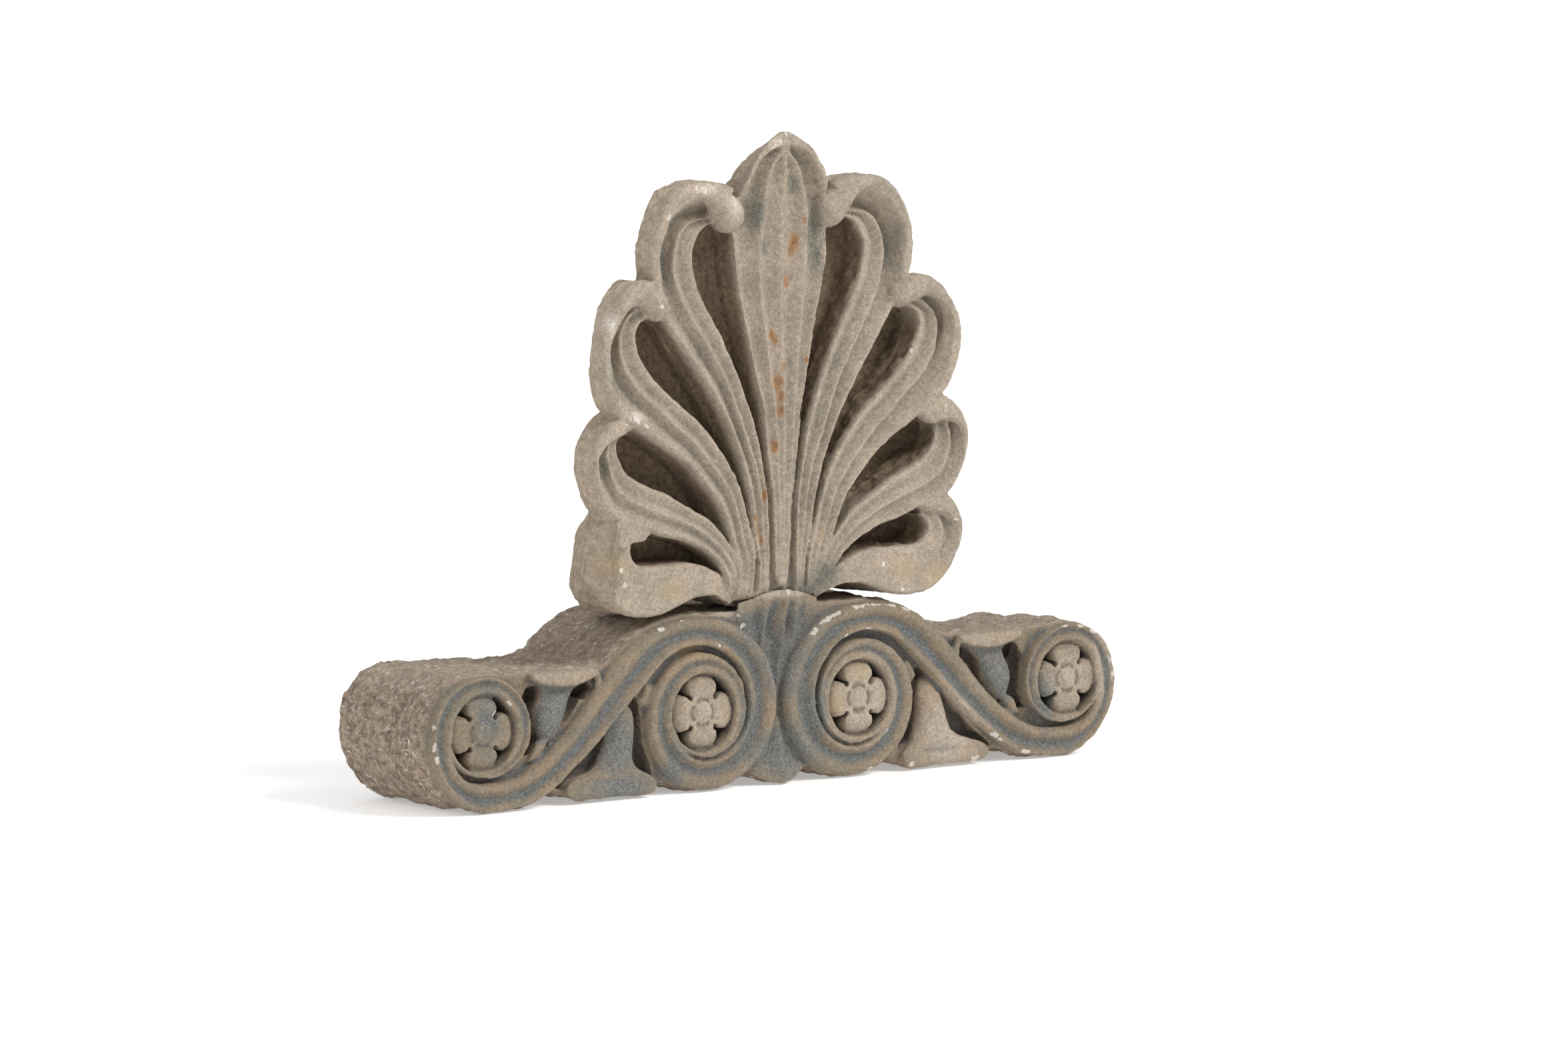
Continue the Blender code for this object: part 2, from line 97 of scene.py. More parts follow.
def smooth(rows: Table, steps: int) -> np.ndarray:
    """Catmull-Rom curve through rows of numbers.

    Args:
        rows: Rows of numbers that the curve passes through.
        steps: Number of steps between two rows.

    Returns:
        One row for each point of the curve.
    """
    table = np.array(rows, float)
    ends = np.vstack((2 * table[0] - table[1], table, 2 * table[-1] - table[-2]))
    t = (np.arange(steps) / steps)[:, None]
    spans = []
    for a, b, c, d in zip(ends, ends[1:], ends[2:], ends[3:]):
        spans.append(b + t / 2 * (c - a + t * (2 * a - 5 * b + 4 * c - d
                                                + t * (3 * (b - c) + d - a))))
    return np.vstack((*spans, table[-1:]))


def polar(centre: Sequence[float], degrees: float, radius: float) -> Point:
    """Point at an angle and a distance from a centre."""
    angle = math.radians(degrees)
    return (centre[0] + radius * math.cos(angle), centre[1] + radius * math.sin(angle))


def eased(values: np.ndarray, low: float, high: float) -> np.ndarray:
    """Values carried smoothly from 0 at one limit to 1 at the other."""
    share = np.clip((values - low) / (high - low), 0.0, 1.0)
    return share * share * (3.0 - 2.0 * share)


def outline_normals(outline: np.ndarray) -> np.ndarray:
    """Unit normals of a closed outline's points, which point out of it.

    Args:
        outline: Points of the outline, in order.

    Returns:
        One normal for each point.
    """
    along = np.roll(outline, -1, axis=0) - np.roll(outline, 1, axis=0)
    normals = np.stack((along[:, 1], -along[:, 0]), axis=1)
    normals /= np.maximum(np.linalg.norm(normals, axis=1, keepdims=True), 1e-9)
    x, z = outline.T
    area = np.sum(x * np.roll(z, -1) - np.roll(x, -1) * z)
    return normals if area > 0 else -normals


@dataclass
class Form:
    """Closed mesh of points in millimetres, in the frame's axes."""

    points: np.ndarray
    faces: list[tuple[int, ...]]

    def mirrored(self) -> "Form":
        """The same form on the other side of the middle line."""
        return Form(self.points * (-1.0, 1.0, 1.0), [face[::-1] for face in self.faces])


def loft(rings: np.ndarray, looped: bool = False) -> Form:
    """Closed form through rings of the same number of points.

    Args:
        rings: Array of rings, each a row of points.
        looped: Whether the last ring meets the first; otherwise both ends are capped.

    Returns:
        The form.
    """
    count, size = rings.shape[:2]
    index = np.arange(count * size).reshape(count, size)
    near = index if looped else index[:-1]
    far = np.roll(index, -1, axis=0) if looped else index[1:]
    quads = np.stack((np.roll(near, 1, axis=1), near, far, np.roll(far, 1, axis=1)), axis=-1)
    faces = [tuple(quad) for quad in quads.reshape(-1, 4).tolist()]
    if not looped:
        faces += [tuple(index[0].tolist()), tuple(index[-1, ::-1].tolist())]
    return Form(rings.reshape(-1, 3), faces)


def slab(outline: Table, front: float, back: float) -> Form:
    """Outline in the front view, extruded from one depth to another."""
    return loft(np.array([[at(x, z, depth) for x, z in outline] for depth in (front, back)]))


def turned(centre: Sequence[float], profile: Table, sides: int = 48,
           looped: bool = False) -> Form:
    """Form turned about an axis along Y.

    Args:
        centre: The axis in the front view.
        profile: Rows of radius and depth, from the front to the back.
        sides: Number of points round the axis.
        looped: Whether the profile closes on itself, as a ring's does.

    Returns:
        The form.
    """
    angles = [360.0 * side / sides for side in range(sides)]
    return loft(np.array([[at(*polar(centre, angle, radius), depth) for angle in angles]
                          for radius, depth in profile]), looped)


def bar(rows: Table, steps: int = 4, sides: int = 20) -> Form:
    """Bent bar of changing thickness with round ends.

    Args:
        rows: x, height, radius and the depth of the bar's foremost line.
        steps: Steps between two rows.
        sides: Number of points round the bar.

    Returns:
        The form.
    """
    line = smooth(rows, steps)
    along = np.gradient(line[:, :2], axis=0)
    along /= np.linalg.norm(along, axis=1, keepdims=True)
    angles = np.linspace(0.0, 2 * math.pi, sides, endpoint=False)
    caps = [math.radians(angle) for angle in CAP_ANGLES]
    stations = [(line[0], along[0], -math.sin(cap), math.cos(cap)) for cap in caps]
    stations += [(row, heading, 0.0, 1.0) for row, heading in zip(line, along)]
    stations += [(line[-1], along[-1], math.sin(cap), math.cos(cap)) for cap in caps[::-1]]
    rings = []
    for (x, z, radius, crest), (ahead_x, ahead_z), push, share in stations:
        side = radius * share * np.cos(angles)
        deep = crest + radius + radius * share * np.sin(angles)
        rings.append(np.stack((x + ahead_x * push * radius - ahead_z * side, FACE_Y + deep,
                               z + ahead_z * push * radius + ahead_x * side), axis=1))
    return loft(np.array(rings))


def pillow(outline: Table, front: float, back: float, dome: float) -> Form:
    """Outline whose front is domed towards its middle.

    Args:
        outline: Points of the edge in the front view.
        front: Depth of the dome's top.
        back: Depth of the back.
        dome: How far the front falls from its top to its edge.

    Returns:
        The form.
    """
    edge = np.array(outline, float)
    middle = edge.mean(axis=0)
    levels = ((1.0, back), (1.0, front + dome), (0.86, front + 0.45 * dome),
              (0.6, front + 0.1 * dome), (0.25, front))
    return loft(np.array([[at(*(middle + (point - middle) * size), depth) for point in edge]
                          for size, depth in levels]))


def object_of(name: str, forms: Iterable[Form]) -> bpy.types.Object:
    """One object that holds several forms in metres, with every face turned outwards.

    Args:
        name: The object's name.
        forms: What it holds.

    Returns:
        The object.
    """
    points, faces, count = [], [], 0
    for form in forms:
        points.append(form.points * MM)
        faces += [tuple(corner + count for corner in face) for face in form.faces]
        count += len(form.points)
    mesh = bpy.data.meshes.new(name)
    mesh.from_pydata(np.vstack(points).tolist(), [], faces)
    shape = bmesh.new()
    shape.from_mesh(mesh)
    bmesh.ops.recalc_face_normals(shape, faces=shape.faces)
    shape.to_mesh(mesh)
    shape.free()
    item = bpy.data.objects.new(name, mesh)
    bpy.context.scene.collection.objects.link(item)
    return item


def evaluated_mesh(item: bpy.types.Object) -> bpy.types.Mesh:
    """The mesh of an object with its modifiers; the object itself is removed.

    Args:
        item: The object.

    Returns:
        The mesh.
    """
    bpy.context.view_layer.update()
    graph = bpy.context.evaluated_depsgraph_get()
    mesh = bpy.data.meshes.new_from_object(item.evaluated_get(graph))
    bpy.data.objects.remove(item)
    return mesh


def cut(body: Form, tools: Iterable[Form]) -> Form:
    """A form with others cut out of it.

    Args:
        body: What is cut.
        tools: What is taken out of it; they keep apart.

    Returns:
        What is left.
    """
    item, tool = object_of("body", [body]), object_of("tool", tools)
    change = item.modifiers.new("cut", "BOOLEAN")
    change.object = tool
    change.operation = "DIFFERENCE"
    mesh = evaluated_mesh(item)
    bpy.data.objects.remove(tool)
    points = np.empty(len(mesh.vertices) * 3, np.float32)
    mesh.vertices.foreach_get("co", points)
    faces = [tuple(face.vertices) for face in mesh.polygons]
    return Form(points.reshape(-1, 3).astype(float) / MM, faces)


# --- weathering --------------------------------------------------------------------

class LatticeNoise:
    """Smooth noise in space, between -1 and 1, the same on every run."""

    SIZE = 64

    def __init__(self, seed: int) -> None:
        """Fill the lattice."""
        self.lattice = np.random.default_rng(seed).uniform(-1.0, 1.0, (self.SIZE,) * 3)

    def __call__(self, points: np.ndarray, grain: float) -> np.ndarray:
        """Noise at some points.

        Args:
            points: Points in millimetres.
            grain: Size of one lump, in millimetres.

        Returns:
            One value for each point.
        """
        cell = points / grain
        corner = np.floor(cell).astype(int)
        share = cell - corner
        share = share * share * (3.0 - 2.0 * share)
        total = np.zeros(len(points))
        for step in itertools.product((0, 1), repeat=3):
            weight = np.prod(np.where(step, share, 1.0 - share), axis=1)
            total += weight * self.lattice[tuple(((corner + step) % self.SIZE).T)]
        return total


class Skin:
    """Fused surface of one stone, held as arrays while it is weathered."""

    MARGIN = 2e-5                       # metres kept clear of the box's faces
    FADE_START = 0.15                   # share of a push's reach that moves in full
    LAYER_SHIFT = (17.3, 5.1, 9.7)      # keeps layers of noise apart, in millimetres
    NOISE_LEVEL = 0.35                  # the noise that leaves the surface where it is
    RAGGED = ((5.0, 0.55), (2.2, 0.3))  # grain and share of a flake's ragged edge
    CHIP_FACING = 0.3                   # flakes leave surfaces alone that turn further back
    CHIP_DEPTH = 1.2                    # how far back a flake reaches, for its radius
    CHIP_EDGE: Span = (0.15, 0.45)      # where a flake's edge fades in
    CHIP_MARK = 0.35                    # millimetres lost that show fresh stone
    SPOT_DEPTHS: Span = (26.0, 44.0)    # painted spots fade out between these depths
    FINE_ROUNDS, CREST_ROUNDS = 5, 16   # how broadly fine hollows and crests are judged
    FINE_WEIGHT = 1.5
    HOLLOW_RANGE: Span = (-3.0, 6.0)
    CREST_RANGE: Span = (0.0, 1.2)

    def __init__(self, name: str, forms: Iterable[Form], seed: int) -> None:
        """Fuse overlapping forms into one skin.

        Args:
            name: The finished object's name.
            forms: Closed forms that may overlap.
            seed: Start of the stone's own noise.
        """
        item = object_of(name, forms)
        change = item.modifiers.new("fuse", "REMESH")
        change.mode = "VOXEL"
        change.voxel_size = SKIN_VOXEL * MM
        self.mesh = evaluated_mesh(item)
        self.name = name
        self.noise = LatticeNoise(seed)
        self.marks: dict[str, np.ndarray] = {}
        count = len(self.mesh.vertices)
        points = np.empty(count * 3, np.float32)
        self.mesh.vertices.foreach_get("co", points)
        self.points = points.reshape(-1, 3).astype(float) / MM
        edges = np.empty(len(self.mesh.edges) * 2, np.int32)
        self.mesh.edges.foreach_get("vertices", edges)
        edges = edges.reshape(-1, 2)
        self.ends = np.concatenate((edges[:, 0], edges[:, 1]))
        self.others = np.concatenate((edges[:, 1], edges[:, 0]))
        self.degree = np.maximum(np.bincount(self.ends, minlength=count), 1)

    @property
    def depth(self) -> np.ndarray:
        """Distance of each point behind the face of the scrolls."""
        return self.points[:, 1] - FACE_Y

    def normals(self) -> np.ndarray:
        """Unit normals of the points as they lie now.

        Returns:
            One normal for each point.
        """
        self.store_points()
        normals = np.empty(len(self.points) * 3, np.float32)
        self.mesh.vertex_normals.foreach_get("vector", normals)
        return normals.reshape(-1, 3).astype(float)

    def store_points(self) -> None:
        """Write the points back to the mesh."""
        self.mesh.vertices.foreach_set("co", (self.points * MM).astype(np.float32).ravel())
        self.mesh.update()

    def spread(self, values: np.ndarray, rounds: int) -> np.ndarray:
        """Values averaged with their neighbours' again and again.

        Args:
            values: One number or row of numbers for each point.
            rounds: How often they are averaged.

        Returns:
            The averaged values.
        """
        columns = values.reshape(len(values), -1)
        for _ in range(rounds):
            columns = np.stack([
                np.bincount(self.ends, weights=column[self.others], minlength=len(column))
                / self.degree / 2 + column / 2 for column in columns.T], axis=1)
        return columns.reshape(values.shape)

    def relax(self, rounds: int) -> None:
        """Soften the carving's edges."""
        self.points = self.spread(self.points, rounds)

    def push(self, place: Sequence[float], reach: Sequence[float], shift: Sequence[float],
             depths: Sequence[float] = (-1000.0, -999.0)) -> None:
        """Move the surface about a place in the front view, less and less further away.

        Args:
            place: x and height of the middle.
            reach: Distances across and up at which the shift has all but faded.
            shift: How far the middle moves along x, depth and height.
            depths: Depths where the shift starts and is full.
        """
        off = np.hypot((self.points[:, 0] - place[0]) / reach[0],
                       (self.points[:, 2] - place[1]) / reach[1])
        share = (1.0 - eased(off, self.FADE_START, 1.0)) * eased(self.depth, *depths)
        self.points += share[:, None] * np.array(shift)

    def hollowness(self, rounds: int) -> np.ndarray:
        """How far each point lies in a hollow, in millimetres; on a crest it is negative."""
        return np.sum((self.spread(self.points, rounds) - self.points) * self.normals(), axis=1)

    def mark_relief(self, rounds: int) -> None:
        """Mark the hollows, broad and fine together, and the crests.

        Args:
            rounds: How broadly broad hollows are judged.
        """
        # Hollows feed grime with painted shade, and cold stains; crests feed wear with painted
        # highlight.
        hollow = self.hollowness(rounds) + self.FINE_WEIGHT * self.hollowness(self.FINE_ROUNDS)
        self.marks["hollow"] = np.clip(hollow, *self.HOLLOW_RANGE)
        self.marks["crest"] = np.clip(-self.hollowness(self.CREST_ROUNDS), *self.CREST_RANGE)

    def roughen(self, amount: np.ndarray, layers: Table) -> None:
        """Sink the surface by layers of noise.

        Args:
            amount: Share of the full roughness at each point.
            layers: Rows of grain and height, in millimetres.
        """
        normals = self.normals()
        sink = np.zeros(len(self.points))
        for layer, (grain, height) in enumerate(layers):
            shift = np.array(self.LAYER_SHIFT) * (layer + 1)
            sink += height * (self.noise(self.points + shift, grain) - self.NOISE_LEVEL)
        self.points += normals * (sink * amount)[:, None]

    def chip(self, chips: Table) -> None:
        """Break flat flakes off the crests and mark them.

        Args:
            chips: Rows of x, height, radius and depth of the flake in the front view.
        """
        mark = np.zeros(len(self.points))
        normals = self.normals()
        facing = normals[:, 1] < self.CHIP_FACING
        ragged = sum(share * self.noise(self.points, grain) for grain, share in self.RAGGED)
        for x, z, radius, bite in chips:
            flat = np.hypot(self.points[:, 0] - x, self.points[:, 2] - z)
            near = facing & (flat < radius)
            if not near.any():
                LOG.warning("no surface under the chip at %s, %s", x, z)
                continue
            near &= self.depth < self.depth[near].min() + self.CHIP_DEPTH * radius
            heading = normals[near].mean(axis=0)
            heading /= np.linalg.norm(heading)
            height = self.points @ heading
            level = height[near].max() - bite * (1.0 + 0.5 * ragged)
            reach = np.where(near, np.clip(1.0 - flat / radius + ragged, 0.0, 1.0), 0.0)
            lift = np.maximum(height - level, 0.0)
            inside = eased(reach, *self.CHIP_EDGE)
            self.points -= heading * (lift * inside)[:, None]
            mark = np.maximum(mark, inside * eased(lift, 0.0, self.CHIP_MARK))
        self.marks["chip"] = mark

    def spots(self, name: str, spots: Table) -> None:
        """Mark soft spots on the front, as rows of x, height, half width and half height.

        Args:
            name: The mark's name.
            spots: Rows of x, height, half width and half height.
        """
        mark = np.zeros(len(self.points))
        for x, z, wide, high in spots:
            off = np.hypot((self.points[:, 0] - x) / wide, (self.points[:, 2] - z) / high)
            mark = np.maximum(mark, np.clip(1.0 - off / 2, 0.0, 1.0))
        self.marks[name] = mark * (1.0 - eased(self.depth, *self.SPOT_DEPTHS))

    def finished(self, box: tuple[Vector, Vector]) -> bpy.types.Object:
        """The skin as one light, smooth-shaded object inside a box.

        Args:
            box: Lowest and highest corner, in metres.

        Returns:
            The object.
        """
        self.store_points()
        for name, values in self.marks.items():
            layer = self.mesh.attributes.new(name, "FLOAT", "POINT")
            layer.data.foreach_set("value", values.astype(np.float32))
        item = bpy.data.objects.new(self.name, self.mesh)
        bpy.context.scene.collection.objects.link(item)
        change = item.modifiers.new("lighten", "DECIMATE")
        change.ratio = min(1.0, PIECE_TRIANGLES / (2 * len(self.mesh.polygons)))
        mesh = evaluated_mesh(item)
        mesh.name = self.name
        places = np.empty(len(mesh.vertices) * 3, np.float32)
        mesh.vertices.foreach_get("co", places)
        low, high = (np.array(corner) for corner in box)
        places = np.clip(places.reshape(-1, 3), low + self.MARGIN, high - self.MARGIN)
        mesh.vertices.foreach_set("co", places.ravel())
        mesh.update()
        mesh.shade_smooth()
        item = bpy.data.objects.new(self.name, mesh)
        bpy.context.scene.collection.objects.link(item)
        LOG.info("%s: %d triangles", self.name,
                 sum(len(face.vertices) - 2 for face in mesh.polygons))
        return item


# --- shader graph ------------------------------------------------------------------

class Wire:
    """A node's output socket, with arithmetic that adds Math nodes."""

    def __init__(self, graph: "Graph", socket: bpy.types.NodeSocket) -> None:
        """Wrap a socket."""
        self.graph = graph
        self.socket = socket

    def _maths(self, operation: str, *values: "Wire | float") -> "Wire":
        """Result of one Math node."""
        return self.graph.node("ShaderNodeMath", {"operation": operation}, dict(enumerate(values)))

    def __add__(self, other: "Wire | float") -> "Wire":
        """Sum."""
        return self._maths("ADD", self, other)

    __radd__ = __add__

    def __mul__(self, other: "Wire | float") -> "Wire":
        """Product."""
        return self._maths("MULTIPLY", self, other)

    __rmul__ = __mul__

    def __sub__(self, other: "Wire | float") -> "Wire":
        """Difference."""
        return self._maths("SUBTRACT", self, other)

    def __rsub__(self, other: "Wire | float") -> "Wire":
        """Difference from a number."""
        return self._maths("SUBTRACT", other, self)

    def __truediv__(self, other: "Wire | float") -> "Wire":
        """Quotient."""
        return self._maths("DIVIDE", self, other)

    def lowest(self, other: "Wire | float") -> "Wire":
        """The smaller of two values."""
        return self._maths("MINIMUM", self, other)

    def highest(self, other: "Wire | float") -> "Wire":
        """The larger of two values."""
        return self._maths("MAXIMUM", self, other)

    def eased(self, low: float, high: float) -> "Wire":
        """Value carried smoothly from 0 at one limit to 1 at the other.

        Args:
            low: Value that gives 0.
            high: Value that gives 1.

        Returns:
            The eased value.
        """
        return self.graph.node(
            "ShaderNodeMapRange", {"interpolation_type": "SMOOTHSTEP"},
            {"Value": self, "From Min": low, "From Max": high})


Value = Wire | float | tuple[float, ...]


@dataclass(frozen=True)
class Grain:
    """One layer of noise: size of its lumps in millimetres, and how fine it goes.

    The noise is eased between the two values of its fade, and stretched along the axes.
    """

    size: float
    detail: float
    rough: float
    fade: Span | None = None
    stretch: tuple[float, float, float] | None = None


class Graph:
    """Node tree of one material."""

    def __init__(self, name: str) -> None:
        """Start a material with its shader and its place in space.

        Args:
            name: The material's name.
        """
        self.material = bpy.data.materials.new(name)
        self.material.use_nodes = True
        self.tree = self.material.node_tree
        self.shader = self.tree.nodes["Principled BSDF"]
        self.place = self.node("ShaderNodeTexCoord", {}, {}, output="Object")

    def node(self, kind: str, settings: dict[str, object], inputs: dict[int | str, Value],
             output: int | str = 0) -> Wire:
        """Add one node.

        Args:
            kind: The node's type.
            settings: Attributes that are set before the inputs.
            inputs: Numbers, colours or wires by socket.
            output: The socket that is handed back.

        Returns:
            The output, ready for arithmetic.
        """
        node = self.tree.nodes.new(kind)
        for name, value in settings.items():
            setattr(node, name, value)
        for name, value in inputs.items():
            self.feed(node.inputs[name], value)
        return Wire(self, node.outputs[output])

    def feed(self, socket: bpy.types.NodeSocket, value: Value) -> None:
        """Link a wire to a socket, or set the socket's own value.

        Args:
            socket: The input.
            value: A wire, number or colour.
        """
        if isinstance(value, Wire):
            self.tree.links.new(value.socket, socket)
        else:
            socket.default_value = value

    def noise(self, grain: Grain) -> Wire:
        """Noise from 0 to 1, faded where its grain says so.

        Args:
            grain: The layer of noise.

        Returns:
            The noise.
        """
        place = self.place
        if grain.stretch is not None:
            place = self.node("ShaderNodeVectorMath", {"operation": "MULTIPLY"},
                              {0: place, 1: grain.stretch})
        noise = self.node("ShaderNodeTexNoise", {}, {
            "Vector": place, "Scale": 1.0 / (grain.size * MM), "Detail": grain.detail,
            "Roughness": grain.rough})
        return noise if grain.fade is None else noise.eased(*grain.fade)

    def mark(self, name: str) -> Wire:
        """A value painted on the mesh."""
        return self.node("ShaderNodeAttribute", {"attribute_name": name}, {}, output="Fac")

    def blend(self, share: Value, first: Value, second: Value, kind: str = "MIX") -> Wire:
        """Mix of two colours."""
        return self.node("ShaderNodeMix", {"data_type": "RGBA", "blend_type": kind},
                         {0: share, 6: first, 7: second}, output=2)

    def bump(self, height: Wire, distance: float, under: Wire | None = None) -> Wire:
        """Bump normal from a height, with the distance in millimetres.

        Args:
            height: The height, from 0 to 1.
            distance: Millimetres between 0 and 1.
            under: A normal that it is laid over.

        Returns:
            The normal.
        """
        inputs: dict[int | str, Value] = {"Height": height, "Distance": distance * MM}
        if under is not None:
            inputs["Normal"] = under
        return self.node("ShaderNodeBump", {}, inputs)

    def surface(self, colour: Wire, roughness: Wire, normal: Wire) -> bpy.types.Material:
        """Join the look to the shader.

        Args:
            colour: Base colour.
            roughness: Roughness.
            normal: Normal.

        Returns:
            The finished material.
        """
        self.feed(self.shader.inputs["Base Color"], colour)
        self.feed(self.shader.inputs["Roughness"], roughness)
        self.feed(self.shader.inputs["Normal"], normal)
        return self.material


def tint(red: float, green: float, blue: float) -> Colour:
    """Opaque colour from linear values."""
    return (red, green, blue, 1.0)


@dataclass(frozen=True)
class StoneFinish:
    """Weathered granular limestone."""

    name: str
    worn_and_highlit: Colour                # crests that are rubbed clean, with painted highlight on them
    body: Colour                # the usual surface
    shade: Colour               # mottling
    grime_and_shade: Colour               # what collects in the hollows, with painted shade there
    grain: Colour               # dark specks
    pecked: Colour              # rough sides and back
    pecked_dark: Colour
    sunk: Colour                # deep pockets: dark dirt, and painted shade where little light reaches
    sunk_dark: Colour
    fleck_share: float          # pale flecks on the rough sides
    grime_and_shade_reach: float          # hollowness in millimetres that is fully grimy and painted in shade
    grime_and_shade_share: float
    speck_share: float
    stain_dark: Colour          # cold stains, dark between light grains
    stain_light: Colour
    bleach: float               # how far pale places turn towards fresh stone
    fresh: Colour = tint(0.80, 0.77, 0.72)
    lichen: Colour = tint(0.42, 0.21, 0.08)
    lichen_dark: Colour = tint(0.17, 0.095, 0.045)
    ochre: Colour = tint(0.42, 0.3, 0.15)
    grit_dark: Colour = tint(0.68, 0.67, 0.67)
    grit_light: Colour = tint(1.26, 1.26, 1.26)
    mottle_dark: Colour = tint(0.82, 0.8, 0.8)
    mottle_light: Colour = tint(1.12, 1.12, 1.1)

    FINE = Grain(1.4, 4.0, 0.75)
    MEDIUM = Grain(6.0, 5.0, 0.68)
    BROAD = Grain(34.0, 4.0, 0.6)
    SPECKS = Grain(2.3, 4.0, 0.7, (0.56, 0.64))
    GRANULES = Grain(1.7, 4.0, 0.75, (0.38, 0.62))
    MOTTLES = Grain(4.2, 5.0, 0.75, (0.36, 0.64))
    PECKS = Grain(9.0, 6.0, 0.72, (0.36, 0.64))
    FLECKS = Grain(8.0, 5.0, 0.8, (0.575, 0.63), (1.0, 1.0, 1.7))
    STRANDS = Grain(1.6, 3.0, 0.8, None, (1.0, 1.0, 0.45))
    PITS = Grain(4.0, 5.0, 0.72)
    DULL, CHIP_GLOSS = 0.93, 0.08       # roughness, and what a fresh break takes off it
    FINE_BUMP, PIT_BUMP = 0.9, 2.4      # heights in millimetres

    def material(self) -> bpy.types.Material:
        """Build the material.

        Returns:
            The material.
        """
        graph = Graph(self.name)
        fine, medium, broad = (graph.noise(grain) for grain in
                               (self.FINE, self.MEDIUM, self.BROAD))
        pecked, pocket = graph.mark("pecked"), graph.mark("pocket")
        dressed = 1 - pecked.highest(pocket)
        pale = (graph.mark("pale") * (0.5 + medium)).lowest(1.0)

        colour = self.dressed_stone(graph, medium, broad, pale, dressed)
        colour = graph.blend(pecked * (0.8 + 0.2 * medium), colour, self.pecked_stone(graph, pale))
        # Deep pockets take a dark colour: dirt, and painted shade where little light reaches.
        sunk = graph.blend(medium.eased(0.36, 0.66), self.sunk, self.sunk_dark)
        colour = graph.blend(pocket, colour, sunk)
        grit = graph.blend(fine.eased(0.3, 0.7), self.grit_dark, self.grit_light)
        colour = graph.blend(1.0, colour, grit, "MULTIPLY")
        colour = self.growths(graph, colour, medium, broad)
        chip = (graph.mark("chip") + medium * 1.3 + fine * 0.5 - 1.05).eased(0.2, 0.45)
        colour = graph.blend(chip * 0.9, colour, graph.blend(fine, self.fresh, self.worn_and_highlit))

        relief = graph.bump(fine, self.FINE_BUMP)
        pits = graph.noise(self.PITS) * (0.4 + 0.6 * (1 - dressed))
        return graph.surface(colour, self.DULL - self.CHIP_GLOSS * chip,
                             graph.bump(pits, self.PIT_BUMP, relief))

    def dressed_stone(self, graph: Graph, medium: Wire, broad: Wire, pale: Wire,
                      dressed: Wire) -> Wire:
        """Colour of the carved faces: worn crests with painted highlight, grimy hollows with
        painted shade, specks, cold stains.

        Args:
            graph: The material's nodes.
            medium: Noise in small lumps.
            broad: Noise in broad patches.
            pale: Where the stone is rubbed pale.
            dressed: Where the stone is carved smooth.

        Returns:
            The colour.
        """
        colour = graph.blend((broad * 0.6 + medium * 0.4).eased(0.38, 0.62), self.body, self.shade)
        # Lighter in noise patches and on crests: wear, and painted highlight on the crests.
        worn_and_highlit = (graph.mark("crest") * 0.35 + medium * 0.9 - 0.35).eased(0.05, 0.9) * dressed
        colour = graph.blend((worn_and_highlit * 0.6).highest(pale), colour, self.worn_and_highlit)
        colour = graph.blend(pale.eased(0.4, 1.1) * self.bleach, colour, self.fresh)
        # Darker in the hollows: dirt that collects there, and painted shade where the hollows lie
        # in shade.
        hollow = graph.mark("hollow") / self.grime_and_shade_reach
        grime_and_shade = (hollow + medium * 0.8 + broad * 0.3 - 0.5).eased(0.0, 1.0)
        colour = graph.blend(grime_and_shade * self.grime_and_shade_share, colour, self.grime_and_shade)
        specks = graph.noise(self.SPECKS) * (0.25 + 0.5 * grime_and_shade) * self.speck_share
        colour = graph.blend(specks, colour, self.grain)
        cold = graph.mark("blue_stain") * 1.2 + medium * 0.6 + broad * 0.7 - 0.77
        stain = graph.blend(graph.noise(self.GRANULES), self.stain_dark, self.stain_light)
        colour = graph.blend(cold.eased(0.0, 0.95) * 0.85, colour, stain)
        mottle = graph.blend(graph.noise(self.MOTTLES), self.mottle_dark, self.mottle_light)
        return graph.blend(1.0, colour, mottle, "MULTIPLY")

    def pecked_stone(self, graph: Graph, pale: Wire) -> Wire:
        """Colour of the rough sides, with pale flecks.

        Args:
            graph: The material's nodes.
            pale: Where the stone is rubbed pale.

        Returns:
            The colour.
        """
        rough = graph.blend(graph.noise(self.PECKS), self.pecked, self.pecked_dark)
        rough = graph.blend(pale * 0.8, rough, self.worn_and_highlit)
        return graph.blend(graph.noise(self.FLECKS) * self.fleck_share, rough, self.fresh)

    def growths(self, graph: Graph, colour: Wire, medium: Wire, broad: Wire) -> Wire:
        """A colour with ochre stains and lichen laid over it.

        Args:
            graph: The material's nodes.
            colour: What lies under.
            medium: Noise in small lumps.
            broad: Noise in broad patches.

        Returns:
            The colour.
        """
        ochre = graph.mark("ochre_stain") + broad * 0.4 + medium * 0.4 - 0.45
        colour = graph.blend(ochre.eased(0.15, 0.8) * 0.4, colour, self.ochre)
        strands = graph.noise(self.STRANDS)
        lichen = (graph.mark("lichen") * 0.8 + strands * 1.8 - 0.87).eased(0.3, 0.46)
        return graph.blend(lichen * 0.95, colour, graph.blend(
            strands.eased(0.42, 0.6), self.lichen_dark, self.lichen))


